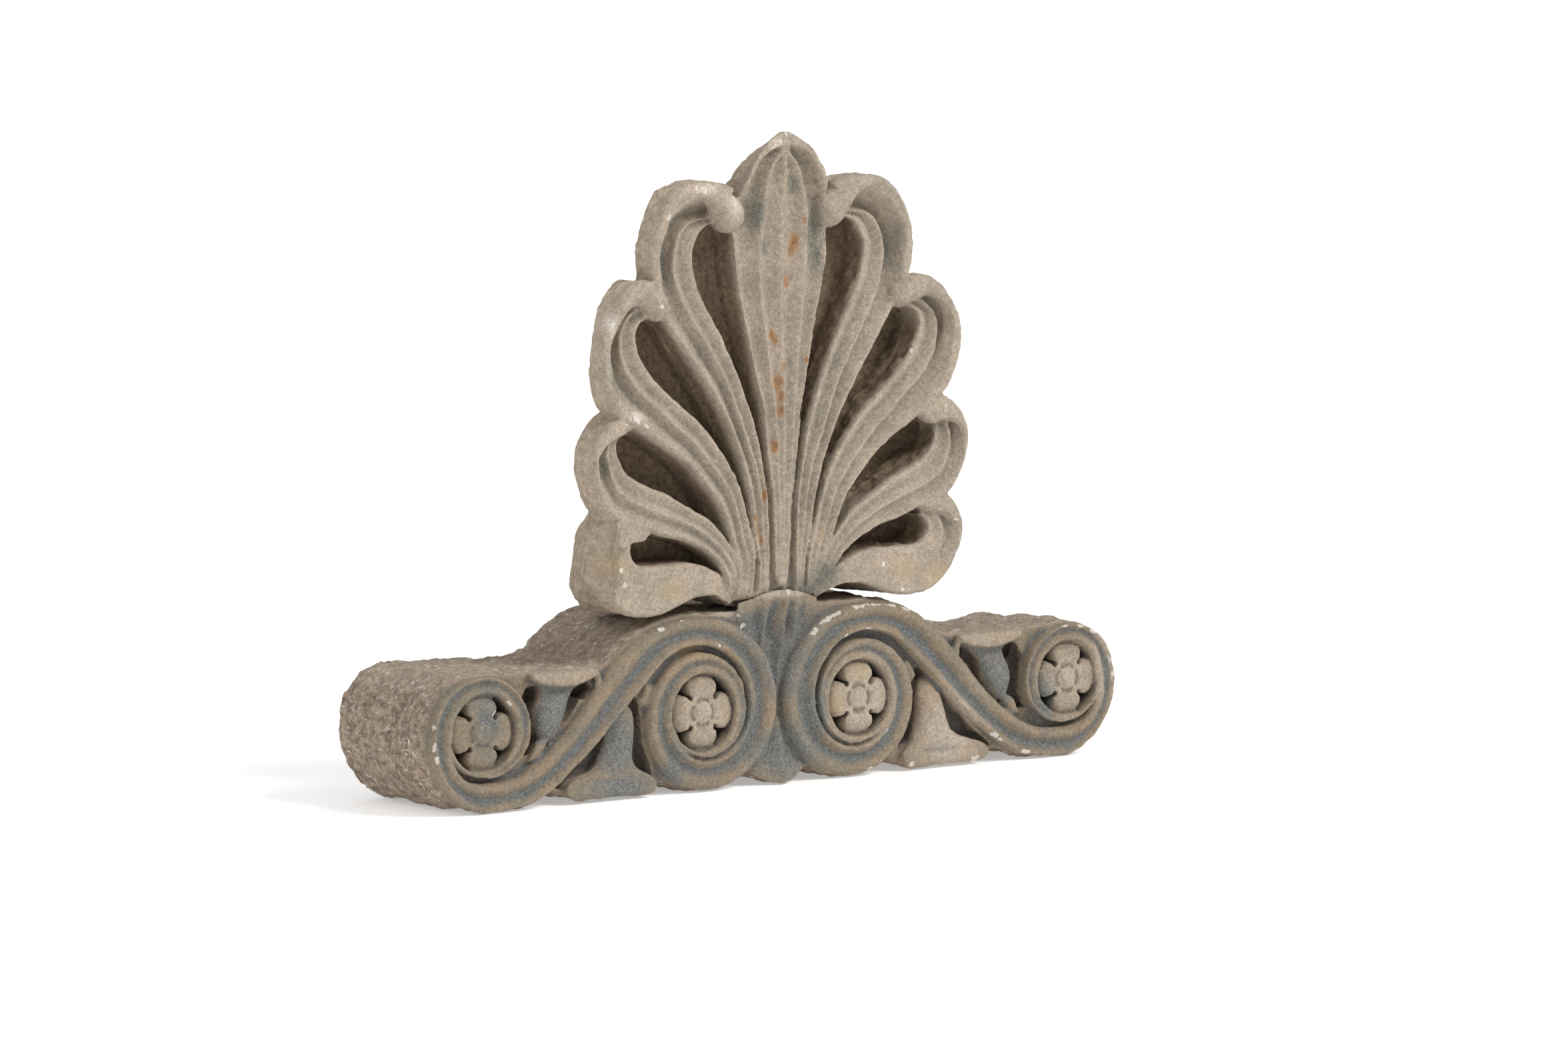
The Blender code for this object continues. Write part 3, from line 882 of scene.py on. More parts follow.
class Finish(Enum):
    """The stones' finishes."""

    BUFF = StoneFinish(
        name="buff_limestone",
        worn_and_highlit=tint(0.55, 0.46, 0.375), body=tint(0.43, 0.355, 0.275),
        shade=tint(0.33, 0.285, 0.225), grime_and_shade=tint(0.2, 0.18, 0.14),
        grain=tint(0.09, 0.08, 0.065),
        pecked=tint(0.6, 0.49, 0.375), pecked_dark=tint(0.36, 0.275, 0.2),
        sunk=tint(0.29, 0.215, 0.14), sunk_dark=tint(0.16, 0.11, 0.072), fleck_share=0.0,
        stain_dark=tint(0.085, 0.09, 0.075), stain_light=tint(0.24, 0.235, 0.19),
        grime_and_shade_reach=3.4, grime_and_shade_share=0.75, speck_share=0.75, bleach=0.55)
    GREY = StoneFinish(
        name="grey_green_limestone",
        worn_and_highlit=tint(0.47, 0.39, 0.305), body=tint(0.28, 0.215, 0.145),
        shade=tint(0.21, 0.18, 0.13), grime_and_shade=tint(0.125, 0.105, 0.085),
        grain=tint(0.05, 0.045, 0.04),
        pecked=tint(0.48, 0.38, 0.285), pecked_dark=tint(0.18, 0.125, 0.09),
        sunk=tint(0.1, 0.09, 0.08), sunk_dark=tint(0.045, 0.04, 0.037), fleck_share=0.9,
        stain_dark=tint(0.075, 0.09, 0.092), stain_light=tint(0.225, 0.24, 0.235),
        grime_and_shade_reach=2.4, grime_and_shade_share=0.85, speck_share=0.75, bleach=0.16)


# --- the long lower stone ----------------------------------------------------------

@dataclass
class ScrollBase:
    """The long stone with its pair of S-scrolls, rosettes, leaves and calyx."""

    node: str = "scroll_base"
    inner_eye: Point = (102.0, 84.0)
    outer_eye: Point = (383.0, 84.0)
    ground_depth: float = 14.0          # the block's own face, which the carving stands on
    root_depth: float = 44.0            # where the carved forms end inside the block
    before_face: float = -5.0           # where cutting tools start
    body_growth: float = 4.0            # how far the block reaches past the scrolls
    eye_radius: float = 41.0
    eye_depth: float = 27.0
    full_width: float = 40.0            # narrower ribbon is moulded less deeply
    turn_step: float = 4.0              # degrees
    # The parts of the scroll that the block's outline follows.
    crown_points: int = 14
    crown_clear: float = 4.0
    end_sweep: float = 290.0
    end_clear: float = 20.0
    under_start: float = 296.0
    belly_sweep: tuple[int, int, int] = (300, 225, -5)
    bed_clear: float = 2.0
    # Depths of the block and how far its outline draws in there: behind its own face, and
    # behind the face of the scrolls.
    face_insets: Table = ((0.0, 2.5), (3.0, 0.8), (8.0, 0.0))
    body_insets: Table = (
        (60.0, 0.0), (120.0, 0.0), (BASE_DEPTH - 4.0, 0.0), (BASE_DEPTH, 1.5))
    inner_turn: Table = (
        (640, 46.5, 40.0), (540, 54.0, 44.5), (450, 63.0, 44.0), (360, 72.0, 42.0),
        (270, 82.0, 49.5), (180, 98.0, 57.0), (90, 100.0, 70.0), (53, 113.0, 76.0))
    outer_turn: Table = (
        (270, 51.5, 83.5), (300, 50.0, 74.0), (330, 45.0, 67.5), (360, 37.0, 64.0),
        (405, 38.0, 62.0), (450, 39.5, 59.0), (540, 41.5, 59.0), (585, 40.0, 53.0),
        (630, 38.5, 46.0), (650, 38.5, 43.5))
    run: Table = (
        (195, 160, 167, 128), (237, 121, 210, 88), (278, 76, 258, 45), (320, 45, 306, 12),
        (350, 34, 340, 3))
    moulding: Table = (
        (0.0, 9.0), (0.05, 4.5), (0.13, 1.2), (0.23, 0.0), (0.34, 1.4), (0.44, 5.0),
        (0.55, 7.8), (0.66, 7.4), (0.75, 4.0), (0.83, 0.8), (0.895, 0.0), (0.95, 1.8),
        (1.0, 6.5))
    eye_ring: Table = (
        (40.5, 34.0), (40.5, 5.0), (41.3, 1.8), (43.2, 0.2), (45.2, 1.5), (46.6, 6.0),
        (47.0, 34.0))
    ledge: Table = ((246, 140), (300, 141.5), (350, 143))
    foot: Table = (
        (292, 13), (280, 12), (266, 4), (250, 3), (228, 8), (196, 5), (174, 3), (156, 10),
        (146, 17))
    middle_foot: Table = ((52, 16), (40, 14.5), (26, 7.5), (12, 2), (0, 0))
    petals: int = 4
    petal_step: float = 1.5             # degrees
    petal_radius: float = 39.4
    # Half a petal's outline, by degrees from the middle of a slit and share of the radius.
    petal_side: Table = (
        (0.0, 0.5), (2.4, 0.6), (4.0, 0.72), (6.5, 0.81), (10.0, 0.885), (15.0, 0.945),
        (22.0, 0.985), (30.0, 1.0), (45.0, 1.0))
    slit_end: Table = ((3.0, -5), (2.6, 24))    # its drill, by radius and depth
    slit_place: float = 22.5                    # from the eye's middle
    hub_share: float = 0.02                     # of the petals' reach
    petal_rise: Table = (
        (0.0, 6.0), (0.3, 6.4), (0.45, 4.6), (0.66, 3.0), (0.84, 3.8), (0.95, 6.8), (1.0, 12.0),
        (1.0, 44.0))
    button: Table = ((0.5, 0.6), (5.0, 0.9), (9.0, 2.0), (11.4, 4.2), (12.0, 7.0), (12.0, 30.0))
    calyx: Table = (
        (0, (80, 16), (120, 10), (150, 4), (176, -3.5), (198, -7), (207, -3)),
        (6, (82, 19), (121, 16), (150, 12), (175, 5.5), (197, -1), (206.7, 1.5)),
        (12, (84, 21), (122, 21), (150, 18), (174, 12.5), (196, 2), (206, 3.5)),
        (20, (88, 21), (124, 16), (150, 11.5), (174, 5), (195, 0), (204.6, 3.5)),
        (29, (94, 22), (127, 21.5), (151, 20), (173, 15), (192, 4.5), (202, 5)),
        (39, (101, 21), (130, 19), (152, 16.5), (171, 12), (189, 5.5), (199, 6.5)),
        (52, (109, 22), (135, 20), (154, 18), (168, 15.5), (183, 11), (195, 11)))
    lip_thickness: float = 4.5
    lip_back: tuple[float, float, float] = (1.0, 3.0, 6.0)  # drops of the lip's back edges
    middle_leaf: Table = (
        (0, (1, 1), (7, -3), (22, 3), (45, 8), (72, 12)),
        (12, (3, 4), (9, 3), (24, 9), (42, 13), (62, 16)),
        (25, (9, 8), (15, 6.5), (24, 11), (36, 14), (46, 16.5)),
        (38, (15, 14), (19, 13), (23, 15), (27, 16.5), (31, 18)))
    leaf_points: int = 17
    leaf_bulge: float = 0.62
    # Leaves in the scrolls' angles, by height, left and right edge, depths of the edges and
    # the middle, and how far the middle rises.
    bell_leaf: Table = (
        (66, 294, 302, 21, 17, 0), (69, 289, 305, 18, 9, 0), (76, 283, 309, 17, 5, 0),
        (84, 278, 311.5, 16, 3, 0), (92, 274, 312.5, 16, 2.5, 0), (100, 271, 311, 16, 3.5, 0),
        (110, 267, 307, 16, 6, 0), (117, 262, 304, 16, 9, 0), (122, 257, 304, 14, 10, -1),
        (128, 247, 310, 8, 6, -4), (133.5, 238, 318, 3.5, 1, -8),
        (138, 235, 321, 2.5, -0.5, -6), (140.5, 236, 320, 4, 1.5, -1),
        (141.5, 238, 318, 9, 7, 0))
    bell_curl: Table = (
        (246, 138, 4.5, 3), (239, 136.5, 5, 3), (235, 130, 4.6, 3.5), (236, 122, 3.8, 5))
    tulip_leaf: Table = (
        (99, 189, 205, 20, 17, 0), (92, 185, 211, 18, 9, 0), (78, 183, 219, 17, 5.5, 0),
        (64, 184, 224, 17, 5, 0), (50, 185, 229, 17, 5, 0), (40, 184, 234, 16, 5.5, 0),
        (32, 180, 246, 13, 6, 0), (26, 170, 266, 9, 6, 0), (20, 163, 275, 6, 5.5, 0),
        (13, 162, 276, 3, 2.5, 1), (6, 166, 268, 4, 3, 2), (2, 174, 258, 9, 8, 2))
    spandrels: tuple[Table, ...] = (
        ((243, 125), (316, 126), (331, 110), (331, 72), (340, 54), (300, 60), (268, 90)),
        ((174, 56), (179, 96), (190, 118), (208, 98), (234, 68), (264, 36), (286, 18),
         (262, 11), (186, 11), (160, 16), (166, 38)))
    spandrel_depth: float = 29.0
    buds: Table = (
        ((164, 118), (172, 119), (183, 101), (176, 93), (164, 98)),
        ((297, 67), (304, 72.5), (312, 69), (318, 60), (324, 48), (308, 52)))
    bud_depth: float = 6.0
    bud_dome: float = 5.0
    wing_hole: Table = ((9.5, -5), (9.5, 12), (8.0, 38))    # by radius and depth
    wing_holes: Table = ((249, 118), (314, 117))
    sag: float = 7.0                    # the right end is lower at its back
    sag_sides: Span = (290.0, 335.0)
    sag_depths: Span = (50.0, BASE_DEPTH)
    sag_height: float = 140.0
    bed_half: float = 250.0
    # Grain and height of each layer of roughness.
    pecking: Table = ((26.0, 2.8), (11.0, 1.8), (5.0, 0.9))
    left_lumps: Table = ((48.0, 4.0), (20.0, 1.6))
    dressing: Table = ((18.0, 0.6), (7.0, 0.5), (3.5, 0.4))
    left_end: Span = (330.0, 400.0)
    # Depths, distances and turns of the surface between which the looks change.
    pecked_depths: Span = (11.0, 24.0)
    side_turn: Span = (-0.9, -0.3)
    eye_rim: Span = (42.0, 46.0)
    eye_wall: Span = (40.0, 43.0)
    sunk_depths: Span = (12.0, 24.0)
    eye_back: Span = (36.0, 44.0)
    wing_sides: Span = (160.0, 335.0)
    wing_heights: Span = (16.0, 128.0)
    nook_depths: Span = (17.0, 30.0)
    nook_back: Span = (40.0, 44.0)
    nook_share: float = 0.7
    channel_hollow: Span = (-0.6, 1.6)
    channel_gap: Span = (46.0, 54.0)
    cold_depths: Span = (10.0, 20.0)
    cold_share: float = 0.85
    top_turn: Span = (0.5, 0.95)
    top_depths: Span = (8.0, 14.0)
    top_pale: float = 0.45
    pale_limit: float = 0.7
    # The bell: cold below the edge of its lip, pale above it.
    bell_middle: float = 278.0
    bell_half: float = 42.0
    bell_foot: Span = (62.0, 70.0)
    bell_depths: Span = (16.0, 30.0)
    bell_cold: float = 0.9
    bell_pale: float = 0.5
    run_slope: float = 0.88             # lean of the scroll's run beside the bell
    run_gap: Span = (1.0, 4.0)
    lip_edge: float = 133.0
    lip_wave: float = 8.0
    lip_cold: Span = (-3.0, 1.0)
    lip_pale: Span = (-1.0, 2.0)
    # Runs of flakes on the rim: first and last angle round the inner eye, and flake size.
    rim_runs: Table = ((130, 127, 3.4), (121, 106, 3.8), (93, 63, 4.4), (58, 52, 3.4))
    rim_reach: Table = (
        (50, 116), (55, 114), (63, 111), (70, 107), (77, 104.5), (84, 102.5), (97, 101),
        (128, 100))
    rim_inset: float = 3.0
    rim_bite: float = 0.8
    rim_step: float = 2.4               # degrees
    # Larger flakes, by x, height, radius and depth.
    chips: Table = (
        (-56, 178, 8, 2.0), (-72, 183, 8, 2.0), (-44, 170, 4, 1.0), (128, 8, 9, 2.2),
        (142, 15, 7, 1.8), (118, 6, 6, 1.5), (282, 31, 7, 1.8), (324, 9, 7, 1.6),
        (290, 24, 5, 1.2), (436, 100, 7, 1.8), (441, 85, 6, 1.5), (418, 132, 8, 1.8),
        (378, 143, 5, 1.2), (400, 140, 5, 1.2), (-446, 75, 9, 2.0), (-444, 62, 9, 2.0),
        (-449, 95, 8, 1.6), (-352, 112, 4, 1.2), (6, 205, 5, 1.4), (258, 7, 6, 1.5),
        (174, 8, 5, 1.3), (-370, 104, 4, 1.0), (112, 157, 4, 0.8), (82, 152, 3.5, 0.8),
        (-82, 152, 3.5, 0.8), (140, 46, 4, 0.9), (-130, 183, 4, 0.9), (-158, 176, 4, 0.9))
    # Painted spots, by x, height, half width and half height.
    blue_stains: Table = (
        (0, 135, 26, 40), (-30, 166, 24, 20), (26, 168, 20, 18), (0, 34, 44, 26),
        (-206, 56, 26, 36), (-206, 14, 40, 14), (-140, 30, 14, 20), (-46, 60, 12, 34),
        (-376, 96, 14, 26), (352, 60, 14, 30), (44, 70, 12, 40))
    pale_places: Table = (
        (106, 84, 34, 34), (-100, 84, 26, 26), (386, 84, 24, 24), (224, 40, 34, 38),
        (-66, 186, 16, 6), (0, 203, 40, 4), (432, 104, 14, 40))
    ochre_stains: Table = ((-118, 150, 20, 10), (70, 80, 10, 14), (102, 112, 12, 8))

    def turn(self, eye: Sequence[float], rows: Table) -> np.ndarray:
        """Rows of two edge points round an eye, at even steps of the angle.

        Args:
            eye: Middle of the turn.
            rows: Angle, and the radii of the two edges.

        Returns:
            Rows of the two edge points.
        """
        table = smooth(rows, steps=12)
        order = np.argsort(table[:, 0])
        count = round(abs(rows[-1][0] - rows[0][0]) / self.turn_step)
        pairs = []
        for angle in np.linspace(rows[0][0], rows[-1][0], count + 1):
            radii = [np.interp(angle, table[order, 0], table[order, i]) for i in (1, 2)]
            pairs.append((*polar(eye, angle, radii[0]), *polar(eye, angle, radii[1])))
        return np.array(pairs)

    def scroll_pairs(self) -> tuple[np.ndarray, np.ndarray, np.ndarray]:
        """Edge points of the right-hand scroll: inner turn, run and outer turn.

        Returns:
            The three parts, each as rows of two edge points.
        """
        inner = self.turn(self.inner_eye, self.inner_turn)
        outer = self.turn(self.outer_eye, self.outer_turn)
        run = smooth([inner[-1], *self.run, outer[0]], steps=10)
        return inner, run[1:-1], outer

    def scroll(self) -> Form:
        """The right-hand scroll as one moulded ribbon.

        Returns:
            The form.
        """
        section = smooth(self.moulding, steps=3)
        rings = []
        for pair in np.vstack(self.scroll_pairs()):
            first, second = pair[:2], pair[2:]
            share = min(1.0, np.linalg.norm(second - first) / self.full_width)
            ring = [at(*first, self.root_depth)]
            ring += [at(*(first + (second - first) * along), depth * share)
                     for along, depth in section]
            rings.append(ring + [at(*second, self.root_depth)])
        return loft(np.array(rings))

    def outline(self) -> np.ndarray:
        """Outline of the block, a little outside the scrolls and never below the ground.

        Returns:
            The closed outline.
        """
        inner, run, outer = self.scroll_pairs()
        grown = self.body_growth

        def outside(rows: np.ndarray, edge: int) -> np.ndarray:
            """One edge of the ribbon, moved away from the other."""
            near, far = rows[:, edge:edge + 2], rows[:, 2 - edge:4 - edge]
            away = near - far
            return near + away * grown / np.linalg.norm(away, axis=1, keepdims=True)

        crown = outside(np.vstack((inner[-self.crown_points:], run)), 0)
        crown = crown[(crown[:, 1] > self.ledge[0][1] + self.crown_clear)
                      & (crown[:, 0] > self.inner_eye[0])]
        end = outside(outer, 2)[:round(self.end_sweep / self.turn_step)]
        end = end[end[:, 0] > self.outer_eye[0] - self.end_clear]
        under = outside(run[run[:, 2] > self.under_start], 2)
        angles = np.arange(*self.belly_sweep)
        reach = np.interp(angles, *np.array(self.inner_turn)[::-1, :2].T)
        belly = np.array([polar(self.inner_eye, angle, radius + grown)
                          for angle, radius in zip(angles, reach)])
        half = np.vstack(([(self.inner_eye[0], BED_HEIGHT)], crown, self.ledge, end[::-1],
                          under[::-1], smooth(self.foot, steps=3), belly,
                          smooth(self.middle_foot, steps=3)))
        half[:, 1] = np.clip(half[:, 1], 0.0, BED_HEIGHT + self.bed_clear)
        return np.vstack((half, half[-2::-1] * (-1.0, 1.0)))

    def rosette(self, eye: Sequence[float]) -> Form:
        """Four broad petals parted by notches.

        Args:
            eye: Middle of the rosette.

        Returns:
            The form.
        """
        angles = np.arange(0.0, 360.0, self.petal_step)
        quarter = 360.0 / self.petals
        off_slit = np.abs(angles % quarter - quarter / 2)
        reach = self.petal_radius * np.interp(off_slit, *np.array(self.petal_side).T)
        rings = []
        for share, depth in smooth(self.petal_rise[:-1], steps=3).tolist() + [self.petal_rise[-1]]:
            rings.append([at(*polar(eye, angle, max(share, self.hub_share) * radius), depth)
                          for angle, radius in zip(angles, reach)])
        slits = [turned(polar(eye, 360.0 * (petal + 0.5) / self.petals, self.slit_place),
                        self.slit_end, sides=16) for petal in range(self.petals)]
        return cut(loft(np.array(rings)), slits)

    def cross_leaf(self, half: Table) -> Form:
        """Leaf across the middle line, from sections at several x.

        Args:
            half: Rows of x and of places up the front, each by height and depth.

        Returns:
            The form.
        """
        rows = np.array([[row[0], *(value for pair in row[1:] for value in pair)] for row in half])
        rows = smooth(rows, steps=5)
        both = np.vstack((rows[:0:-1] * np.array([-1.0] + [1.0] * (rows.shape[1] - 1)), rows))
        rings = []
        for row in both:
            front = smooth(row[1:].reshape(-1, 2), steps=5)
            (low, _), (top, _) = front[0], front[-1]
            ring = [at(row[0], z, depth) for z, depth in front]
            if top > BED_HEIGHT:
                back = front[-1][1] + self.lip_thickness
                upper, lower, root = self.lip_back
                ring += [at(row[0], top - upper, back), at(row[0], BED_HEIGHT - lower, back),
                         at(row[0], BED_HEIGHT - root, self.root_depth)]
            else:
                ring += [at(row[0], low + (top - low) * share, self.root_depth)
                         for share in (1.0, 2 / 3, 1 / 3)]
            rings.append(ring + [at(row[0], low, self.root_depth)])
        return loft(np.array(rings))

    def angle_leaf(self, levels: Table) -> Form:
        """Leaf in the angle of a scroll, from sections at several heights.

        Args:
            levels: Rows as in bell_leaf.

        Returns:
            The form.
        """
        rings = []
        for z, left, right, side, middle, dip in smooth(levels, steps=5):
            ring = []
            for along in np.linspace(0.0, 1.0, self.leaf_points):
                swell = 1.0 - (2.0 * along - 1.0) ** 2
                ring.append(at(left + (right - left) * along, z + dip * swell,
                               side + (middle - side) * swell ** self.leaf_bulge))
            rings.append(ring + [at(right, z, self.root_depth), at(left, z, self.root_depth)])
        return loft(np.array(rings))

    def forms(self) -> list[Form]:
        """Every form of the stone.

        Returns:
            The block first, then what is carved on it.
        """
        eyes = (self.inner_eye, self.outer_eye)
        eye_hole = [(self.eye_radius, depth) for depth in (self.before_face, self.eye_depth)]
        holes = [turned(eye, eye_hole) for eye in eyes]
        holes += [turned(spot, self.wing_hole, sides=16) for spot in self.wing_holes]
        holes += [hole.mirrored() for hole in holes]
        sunk = [slab(spandrel, self.before_face, self.spandrel_depth)
                for spandrel in self.spandrels]
        sunk += [form.mirrored() for form in sunk]
        outline = self.outline()
        normals = outline_normals(outline)
        levels = [(self.ground_depth + depth, inset) for depth, inset in self.face_insets]
        levels += self.body_insets
        block = loft(np.array([[at(x, max(z, 0.0), depth) for x, z in outline - normals * inset]
                               for depth, inset in levels]))
        body = cut(cut(block, sunk), holes)
        pairs = [self.scroll(), self.angle_leaf(self.bell_leaf), self.angle_leaf(self.tulip_leaf)]
        pairs.append(bar(self.bell_curl))
        pairs += [pillow(bud, self.bud_depth, self.root_depth, self.bud_dome)
                  for bud in self.buds]
        for eye in eyes:
            pairs += [self.rosette(eye), turned(eye, self.button, sides=32),
                      turned(eye, self.eye_ring, sides=64, looped=True)]
        pairs += [form.mirrored() for form in pairs]
        return [body, *pairs, self.cross_leaf(self.calyx), self.cross_leaf(self.middle_leaf)]

    def eye_gap(self, skin: Skin) -> np.ndarray:
        """Distance of each point from the middle of the nearest eye in the front view.

        Args:
            skin: The skin.

        Returns:
            The distances.
        """
        side, z = np.abs(skin.points[:, 0]), skin.points[:, 2]
        return np.minimum(*[np.hypot(side - eye[0], z - eye[1])
                            for eye in (self.inner_eye, self.outer_eye)])

    def mark_rough(self, skin: Skin) -> np.ndarray:
        """Mark the pecked places, and the sunk places that take dark dirt and painted shade.

        Args:
            skin: The skin, still smooth.

        Returns:
            How far each point is pecked.
        """
        side, z = np.abs(skin.points[:, 0]), skin.points[:, 2]
        depth, gap = skin.depth, self.eye_gap(skin)
        behind = eased(depth, *self.eye_back)
        pecked = eased(depth, *self.pecked_depths) * eased(skin.normals()[:, 1], *self.side_turn)
        pecked *= np.maximum(eased(gap, *self.eye_rim), behind)
        pecked = skin.spread(pecked, rounds=4)
        sunk = eased(depth, *self.sunk_depths) * (1.0 - eased(gap, *self.eye_wall))
        (left, right), (low, high) = self.wing_sides, self.wing_heights
        wing = (side > left) & (side < right) & (z > low) & (z < high)
        nook = eased(depth, *self.nook_depths) * (1.0 - eased(depth, *self.nook_back)) * wing
        # Eye holes and the wing nooks take the dark pocket colour: dirt and painted shade.
        skin.marks["pocket"] = np.maximum(sunk * (1.0 - behind), self.nook_share * nook)
        skin.marks["pecked"] = pecked * (1.0 - self.nook_share * nook)
        return pecked

    def tones(self, skin: Skin) -> tuple[np.ndarray, np.ndarray]:
        """Tones that follow the carving: cold channels and bells, pale tops and lips.

        Args:
            skin: The skin, still smooth, with its hollows marked.

        Returns:
            How cold and how pale each point is.
        """
        depth, side, z = skin.depth, np.abs(skin.points[:, 0]), skin.points[:, 2]
        off_bell = (side - self.bell_middle) / self.bell_half
        above_lip = z - (self.lip_edge - self.lip_wave * (1.0 - off_bell ** 2))
        corner = self.spandrels[0][0]
        run_edge = corner[0] + self.run_slope * (corner[1] - z)
        bell = (np.abs(off_bell) < 1.0) * (1.0 - eased(depth, *self.bell_depths))
        bell = bell * eased(z, *self.bell_foot) * eased(side - run_edge, *self.run_gap)
        cold = (eased(skin.marks["hollow"], *self.channel_hollow)
                * eased(self.eye_gap(skin), *self.channel_gap))
        cold = np.maximum(skin.spread(cold, rounds=12),
                          self.bell_cold * bell * (1.0 - eased(above_lip, *self.lip_cold)))
        cold *= self.cold_share * (1.0 - eased(depth, *self.cold_depths))
        pale = (self.top_pale * eased(skin.normals()[:, 2], *self.top_turn)
                * eased(depth, *self.top_depths))
        return cold, np.maximum(pale, self.bell_pale * bell * eased(above_lip, *self.lip_pale))

    def rim_flakes(self) -> list[tuple[float, ...]]:
        """Small flakes in runs along the rim of the right-hand scroll.

        Returns:
            Rows of x, height, radius and depth.
        """
        places = [(angle, size) for first, last, size in self.rim_runs
                  for angle in np.arange(first, last, -self.rim_step)]
        reach = np.array(self.rim_reach).T
        return [(*polar(self.inner_eye, angle, np.interp(angle, *reach) - self.rim_inset),
                 size, self.rim_bite) for angle, size in places]

    def weather(self, skin: Skin) -> None:
        """Roughen, chip and mark the skin.

        Args:
            skin: The skin, still smooth.
        """
        skin.relax(rounds=2)
        x, z = skin.points[:, 0], skin.points[:, 2]
        z -= (self.sag * eased(skin.depth, *self.sag_depths) * eased(x, *self.sag_sides)
              * np.clip(z / self.sag_height, 0.0, 1.0))
        skin.mark_relief(rounds=80)
        pecked = self.mark_rough(skin)
        cold, pale = self.tones(skin)
        left_end = eased(-x, *self.left_end)
        skin.roughen(pecked, self.pecking)
        skin.roughen(pecked * left_end, self.left_lumps)
        skin.roughen(1.0 - pecked, self.dressing)
        bed = (skin.depth > self.ground_depth) & (np.abs(x) < self.bed_half)
        z[bed] = np.minimum(z[bed], BED_HEIGHT)
        skin.chip((*self.rim_flakes(), *self.chips))
        skin.spots("lichen", ())
        skin.spots("blue_stain", self.blue_stains)
        skin.marks["blue_stain"] = np.maximum(skin.marks["blue_stain"], cold)
        skin.spots("pale", self.pale_places)
        pale = np.maximum(skin.marks["pale"], pale)
        skin.marks["pale"] = np.minimum(pale, self.pale_limit)
        skin.spots("ochre_stain", self.ochre_stains)

    def build(self) -> bpy.types.Object:
        """Carve, weather and dress the stone.

        Returns:
            The finished piece.
        """
        skin = Skin("carved_scroll_base", self.forms(), seed=7)
        self.weather(skin)
        item = skin.finished(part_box(self.node))
        item.data.materials.append(Finish.GREY.value.material())
        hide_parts(self.node)
        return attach(item, "root")


# --- the palmette ------------------------------------------------------------------

